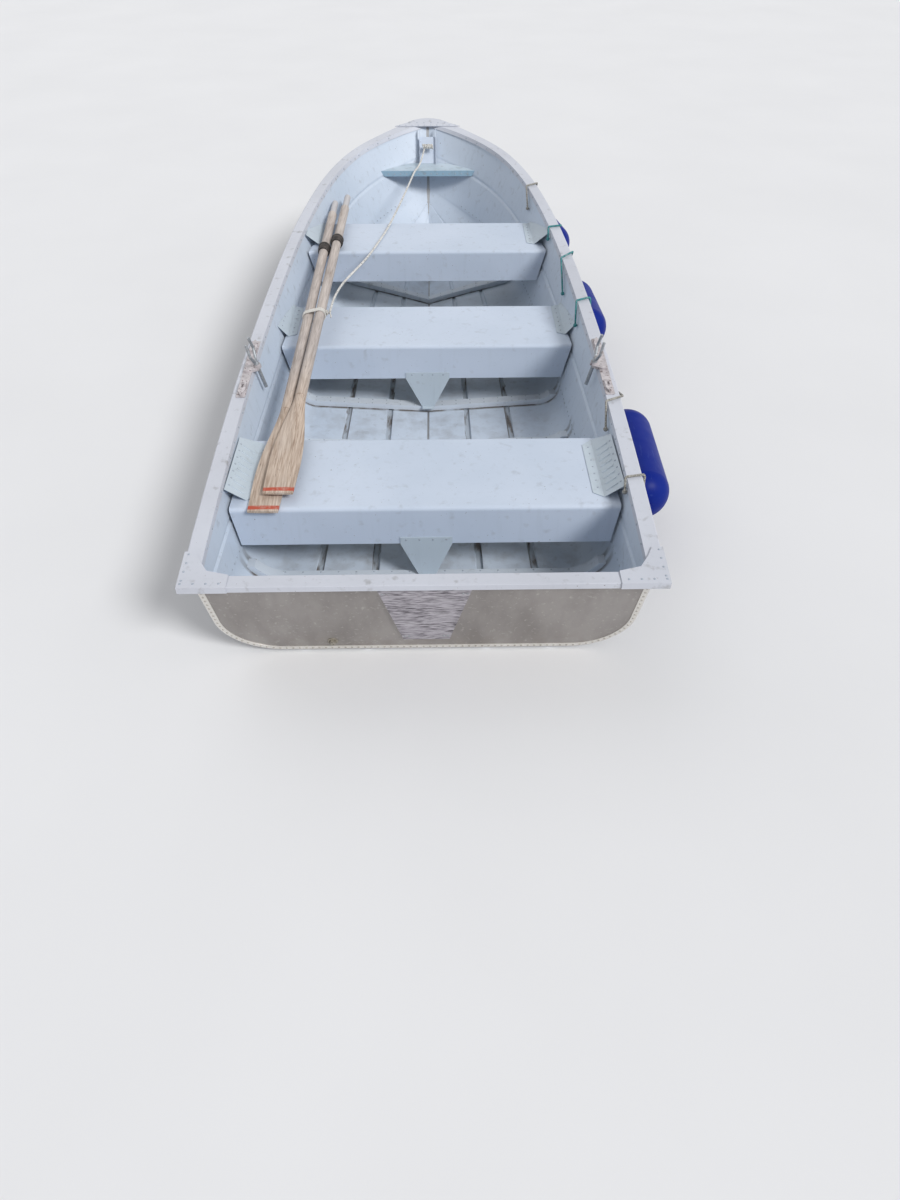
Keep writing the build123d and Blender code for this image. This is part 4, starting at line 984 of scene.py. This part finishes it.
# %% Rivets on the seats
bracket_columns = {"aft": (0.578, 0.644), "mid": (0.582, 0.622), "front": (0.508,)}
edge_gap = 0.005
seat_rows = []
for name, columns in bracket_columns.items():
    faces = surface(f"brackets_{name}")
    low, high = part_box(f"brackets_{name}")
    along = steps(low.y + edge_gap, high.y - edge_gap, 25)
    for x in columns:
        for side in (1.0, -1.0):
            hits = row_of(faces, [(side * x, y, overhead) for y in along], down)
            seat_rows.append(hits[2:-2])       # clear of both edges
knee_faces = surface("knee_plates")
knee_row_height = 0.194
for name in ("aft", "mid"):
    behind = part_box(f"thwart_{name}")[0].y - 0.2
    starts = [(x, behind, knee_row_height) for x in steps(-0.068, 0.068, 5)]
    seat_rows.append(row_of(knee_faces, starts, ahead))
rivet_rows("seat_rivets", seat_rows, spacing=0.036, radius=0.0038, height=0.0020,
           metal=rivet_enamel)

# %% [markdown]
# Each floor rib has two rows. The caps and the shelf have rows seen from above and from
# behind, the stem band has two from ahead, and screws hold the motor pad.

# %% Rivets on ribs, caps, shelf and stem
rib_faces = surface("floor_ribs")
off_middle = 0.014                     # rows lie this far from a rib's middle
rib_rows = []
for y in rib_places:
    reach = 0.50 - max(0.0, y - 1.5) * 0.17        # the floor narrows forward of the middle
    for offset in (-off_middle, off_middle):
        starts = [(x, y + offset, overhead) for x in steps(-reach, reach, 31)]
        rib_rows.append(row_of(rib_faces, starts, down))
rivet_rows("rib_rivets", rib_rows, spacing=0.062, radius=0.0034, height=0.0018,
           metal=rivet_enamel)

transom_row_y, rail_row_x = -0.098, 0.694      # on the corner plates' two legs
shelf_row_height = 0.459
cap_rows = []
plate_faces = surface("corner_plates")
for side in (1.0, -1.0):
    for starts in ([(side * x, transom_row_y, overhead) for x in steps(0.585, 0.695, 6)],
                   [(side * rail_row_x, y, overhead) for y in steps(-0.085, 0.025, 6)]):
        cap_rows.append(row_of(plate_faces, starts, down))
bow_faces = surface("bow_cap")
for y, half in ((3.488, 0.160), (3.512, 0.135)):
    starts = [(x, y, overhead) for x in steps(-half, half, 9)]
    cap_rows.append(row_of(bow_faces, starts, down))
starts = [(x, 3.0, shelf_row_height) for x in steps(-0.225, 0.225, 9)]
cap_rows.append(row_of(surface("bow_shelf"), starts, ahead))
rivet_rows("cap_rivets", cap_rows, spacing=0.034, radius=0.0038, height=0.0020,
           metal=rivet_enamel)

stem_faces = surface("stem_band")
stem_rows = [row_of(stem_faces, [(x, well_ahead, z) for z in steps(0.10, 0.62, 40)], astern)
             for x in (-0.006, 0.006)]
rivet_rows("stem_rivets", stem_rows, spacing=0.045, radius=0.0034, height=0.0016,
           metal=outer_metal)

pad_faces = surface("motor_pad")
pair_gap = 0.012
pad_rows = []
for x, z in ((0.112, 0.335), (0.055, 0.095)):
    for side in (1.0, -1.0):
        starts = [(side * across, well_astern, z) for across in (x, x + pair_gap)]
        pad_rows.append(row_of(pad_faces, starts, ahead))
rivet_rows("pad_screws", pad_rows, spacing=0.02, radius=0.0040, height=0.0014,
           metal=zinc)

# %% [markdown]
# ## The seats' end strips
#
# A seat's box is closed at its ends by a thin strip that is slipped inside the fold and
# reaches out almost to the hull, so that only a dark seam shows there. It follows the seat's
# own side view, and each of its corners is cut to the hull by a ray.

# %% End strips of the seats
seam = 0.010                # left open between a strip and the hull
strip_inset = 0.0004        # the strip's face lies this far inside the seat's
strip_sheet = 0.0014
fold_radius = 0.014
tucked_in = 0.060           # how far the strip starts inboard of the hull


def seat_side(low, high, inset, arc_steps=7):
    """Side view of a seat's folded sheet, from its aft lower edge over the top."""
    radius = fold_radius - inset
    view = [(low.y + inset, low.z)]
    for corner_y, start in ((low.y + fold_radius, math.pi), (high.y - fold_radius, math.pi / 2)):
        for turn in steps(start, start - math.pi / 2, arc_steps):
            view.append((corner_y + radius * math.cos(turn),
                         high.z - fold_radius + radius * math.sin(turn)))
    view.append((high.y - inset, low.z))
    return view


end_strips = bmesh.new()
for name in ("aft", "mid", "front"):
    low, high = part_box(f"thwart_{name}")
    outside = seat_side(low, high, strip_inset)
    inside = seat_side(low, high, strip_inset + strip_sheet)
    for side, word in ((1.0, "starboard"), (-1.0, "port")):
        skin = surface(f"bottom_{word}", f"side_{word}")
        rings = []
        for face, back in zip(outside, inside):
            reach = abs(touch(skin, (0.0, face[0], face[1]), (side, 0.0, 0.0))[0].x)
            rings.append([end_strips.verts.new((side * x, *place)) for x, place in (
                (reach - tucked_in, face), (reach - seam, face),
                (reach - seam, back), (reach - tucked_in, back))])
        for one, other in zip(rings, rings[1:]):
            for k in range(4):
                after = (k + 1) % 4
                end_strips.faces.new((one[k], one[after], other[after], other[k]))
        end_strips.faces.new(rings[0])
        end_strips.faces.new(rings[-1])
bmesh.ops.recalc_face_normals(end_strips, faces=end_strips.faces)
strip_mesh = bpy.data.meshes.new("seat_ends")
end_strips.to_mesh(strip_mesh)
end_strips.free()
new_piece("seat_ends", strip_mesh, seat_enamel)
print("seat ends:", len(strip_mesh.polygons), "faces")

# %% [markdown]
# ## The oars' rubber collars
#
# Each oar has a rubber button that keeps it from sliding out through the rowlock: a sleeve
# with a low ridge and a thin cupped flange. It is a turned shape, so its profile is a short
# list of places along the oar and radii, spun round the oar's axis.

# %% Spun shapes
def spun(name, start, along, profile, sides=56):
    """A closed shape turned about a line. The profile is (metres along, radius)."""
    along = along.normalized()
    across = along.orthogonal().normalized()
    upward = along.cross(across)
    places, faces = [], []
    for run, radius in profile:
        for k in range(sides):
            turn = math.tau * k / sides
            outward = across * math.cos(turn) + upward * math.sin(turn)
            places.append(start + along * run + outward * radius)
    rings = len(profile)
    for i in range(rings):
        for k in range(sides):
            a, b, after = i * sides, (i + 1) % rings * sides, (k + 1) % sides
            faces.append((a + k, a + after, b + after, b + k))
    mesh = bpy.data.meshes.new(name)
    mesh.from_pydata(places, [], faces)
    for face in mesh.polygons:
        face.use_smooth = True
    return mesh


print("spun shapes close on themselves")

# %% [markdown]
# The sleeve is 58 mm long, and ridge and flange stand 3 mm proud of it. The oars slope from
# seat to seat, so a collar is placed on its oar's own line.

# %% Rubber collars
collar_profile = [
    (-0.029, 0.0213), (-0.029, 0.0240), (-0.026, 0.0262), (-0.010, 0.0268), (-0.006, 0.0290),
    (-0.002, 0.0295), (0.002, 0.0290), (0.004, 0.0262), (0.018, 0.0262), (0.022, 0.0284),
    (0.027, 0.0295), (0.029, 0.0288), (0.024, 0.0240), (0.020, 0.0213),
]
# an oar's line from blade tip to grip end, and its collar's place along Y
oar_lines = {"outer": ((-0.528, 0.300, 0.3302), (-0.484, 2.735, 0.4717), 2.182),
             "inner": ((-0.484, 0.365, 0.3560), (-0.424, 2.808, 0.4763), 2.259)}


def oar_point(name, y):
    """The centre of an oar at a place along the boat, with the way it runs."""
    tip, end, _ = oar_lines[name]
    tip, end = Vector(tip), Vector(end)
    return tip.lerp(end, (y - tip.y) / (end.y - tip.y)), (end - tip).normalized()


for name, (_, _, collar_y) in oar_lines.items():
    centre, along = oar_point(name, collar_y)
    mesh = spun(f"collar_{name}", centre, along, collar_profile)
    new_piece(f"collar_{name}", mesh, rubber)
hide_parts("oar_collars")

# %% [markdown]
# ## The lashing
#
# A thin cord holds both oars together. Its turns follow a track with two straight sides and
# two round ends about the shafts, and each turn lies beside the last.

# %% Lashing round both shafts
lash_radius = 0.0026
shaft_radius = 0.021
lash_gap = 0.0004                      # a paper's gap over the wood
lash_low, lash_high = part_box("oar_lashing")
lash_y = (lash_low.y + lash_high.y) / 2
centres = [oar_point(name, lash_y)[0] for name in ("outer", "inner")]
across = (centres[1] - centres[0]).normalized()
upward = Vector((0.0, 1.0, 0.0)).cross(across).normalized()
track_radius = shaft_radius + lash_gap + lash_radius
lash_turns = 5
arc_steps = 12
lash_path = []
for turn in range(lash_turns):
    for half, centre in enumerate((centres[1], centres[0])):
        for i in range(arc_steps + 1):
            angle = math.pi / 2 - math.pi * (half + i / arc_steps)
            share = (turn + (half + i / arc_steps) / 2) / lash_turns
            drift = (share - 0.5) * 2 * lash_radius * lash_turns
            outward = across * math.cos(angle) + upward * math.sin(angle)
            lash_path.append(centre + outward * track_radius + Vector((0.0, drift, 0.0)))
lashing = braid_piece("lashing_turns", lash_path, lash_radius, grey_braid)
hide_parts("oar_lashing")
print("lashing", round(path_length(lash_path), 2), "m in", lash_turns, "turns")

# %% [markdown]
# The knot on the inboard side is a trefoil, which is the plainest real knot, drawn by its
# formula. Two short tails hang out of it.

# %% Knot and tails
knot_stand = 0.011                     # the knot's middle stands this far off the shaft
knot_place = centres[1] + across * (shaft_radius + knot_stand)
knot_scale = 0.0034
knot_steps = 96
trefoil = []
for i in range(knot_steps + 1):
    t = math.tau * i / knot_steps
    forward = Vector((0.0, math.sin(t) + 2 * math.sin(2 * t), 0.0))
    rise = upward * (math.cos(t) - 2 * math.cos(2 * t))
    trefoil.append(knot_place + (forward + rise - across * math.sin(3 * t)) * knot_scale)
braid_piece("lashing_knot", trefoil, lash_radius, grey_braid)

# the tails' points, inboard, forward and up from the knot
tail_bends = ((0.004, 0.0, 0.0), (0.013, -0.006, 0.004), (0.018, -0.015, 0.012),
              (0.017, -0.022, 0.020))
for word, lean in (("upper", 0.35), ("lower", -0.75)):
    ends = [knot_place + across * inboard + Vector((0.0, forward, rise * lean))
            for inboard, forward, rise in tail_bends]
    tail = smooth_path(f"tail_{word}", ends, resolution=4)
    braid_piece(f"lashing_tail_{word}", tail, lash_radius, grey_braid)
print("knot", round(path_length(trefoil) * 1000), "mm of cord, with two tails")

# %% [markdown]
# ## The studio
#
# A plain pale floor lets the materials speak. It is a disc so wide that its edge lies at the
# horizon, a hair under the keel, so that the two never flicker through each other.

# %% Studio floor
floor_radius = 40.0
floor_height = -0.0006
rim_steps = 64
rim = [math.tau * i / rim_steps for i in range(rim_steps)]
floor_mesh = bpy.data.meshes.new("studio_floor")
floor_mesh.from_pydata([(floor_radius * math.cos(a), floor_radius * math.sin(a), floor_height)
                        for a in rim], [], [tuple(range(rim_steps))])
floor = in_scene("studio_floor", floor_mesh)


def build_floor(tree):
    clouds = patches(tree, 0.9, 0.3, 0.7, detail=3.0)
    return {"Base Color": tint(tree, "e6e6e7", clouds, "e3e3e4"), "Roughness": 0.9}


floor_mesh.materials.append(finish_material("studio floor", build_floor))
print("floor:", 2 * floor_radius, "m across")

# %% [markdown]
# One wide lamp stands aft and to starboard, where the sun was: it lights the seats' tops and
# aft faces and the inside of the port side. A weaker and softer one fills from ahead.

# %% Lamps
aimed_at = Vector((0.0, 1.2, 0.2))
# name, place, softness in degrees and power of each lamp
lamps = (("key", (3.8, -2.4, 4.8), 18.0, 2.2), ("fill", (-2.4, 4.6, 3.4), 60.0, 0.5))
for name, place, softness, power in lamps:
    lamp_data = bpy.data.lights.new(name, "SUN")
    lamp_data.angle = math.radians(softness)
    lamp_data.energy = power
    lamp = in_scene(name, lamp_data)
    lamp.location = place
    lamp.rotation_euler = (aimed_at - Vector(place)).to_track_quat("-Z", "Y").to_euler()
print("lamps:", [name for name, _, _, _ in lamps])

# %% [markdown]
# Soft light comes from all sides too. The background's white is only for the camera,
# reflections and clear materials: what lights the boat is the dimmer one.

# %% World
world = bpy.data.worlds.new("studio")
bpy.context.scene.world = world
world.use_nodes = True
sky = world.node_tree
sky.nodes.clear()
light_path = add_node(sky, "ShaderNodeLightPath").outputs
seen = both(sky, light_path["Is Camera Ray"], light_path["Is Glossy Ray"], "MAXIMUM")
seen = both(sky, seen, light_path["Is Transmission Ray"], "MAXIMUM")
ambient = add_node(sky, "ShaderNodeBackground", {"Color": linear("f2f4f8"), "Strength": 0.50})
backdrop = add_node(sky, "ShaderNodeBackground", {"Color": linear("eeefee"), "Strength": 1.0})
chosen = add_node(sky, "ShaderNodeMixShader",
                  {0: seen, 1: ambient.outputs[0], 2: backdrop.outputs[0]})
add_node(sky, "ShaderNodeOutputWorld", {"Surface": chosen.outputs[0]})
bpy.context.scene.view_settings.view_transform = "Standard"
print("world:", len(sky.nodes), "nodes")
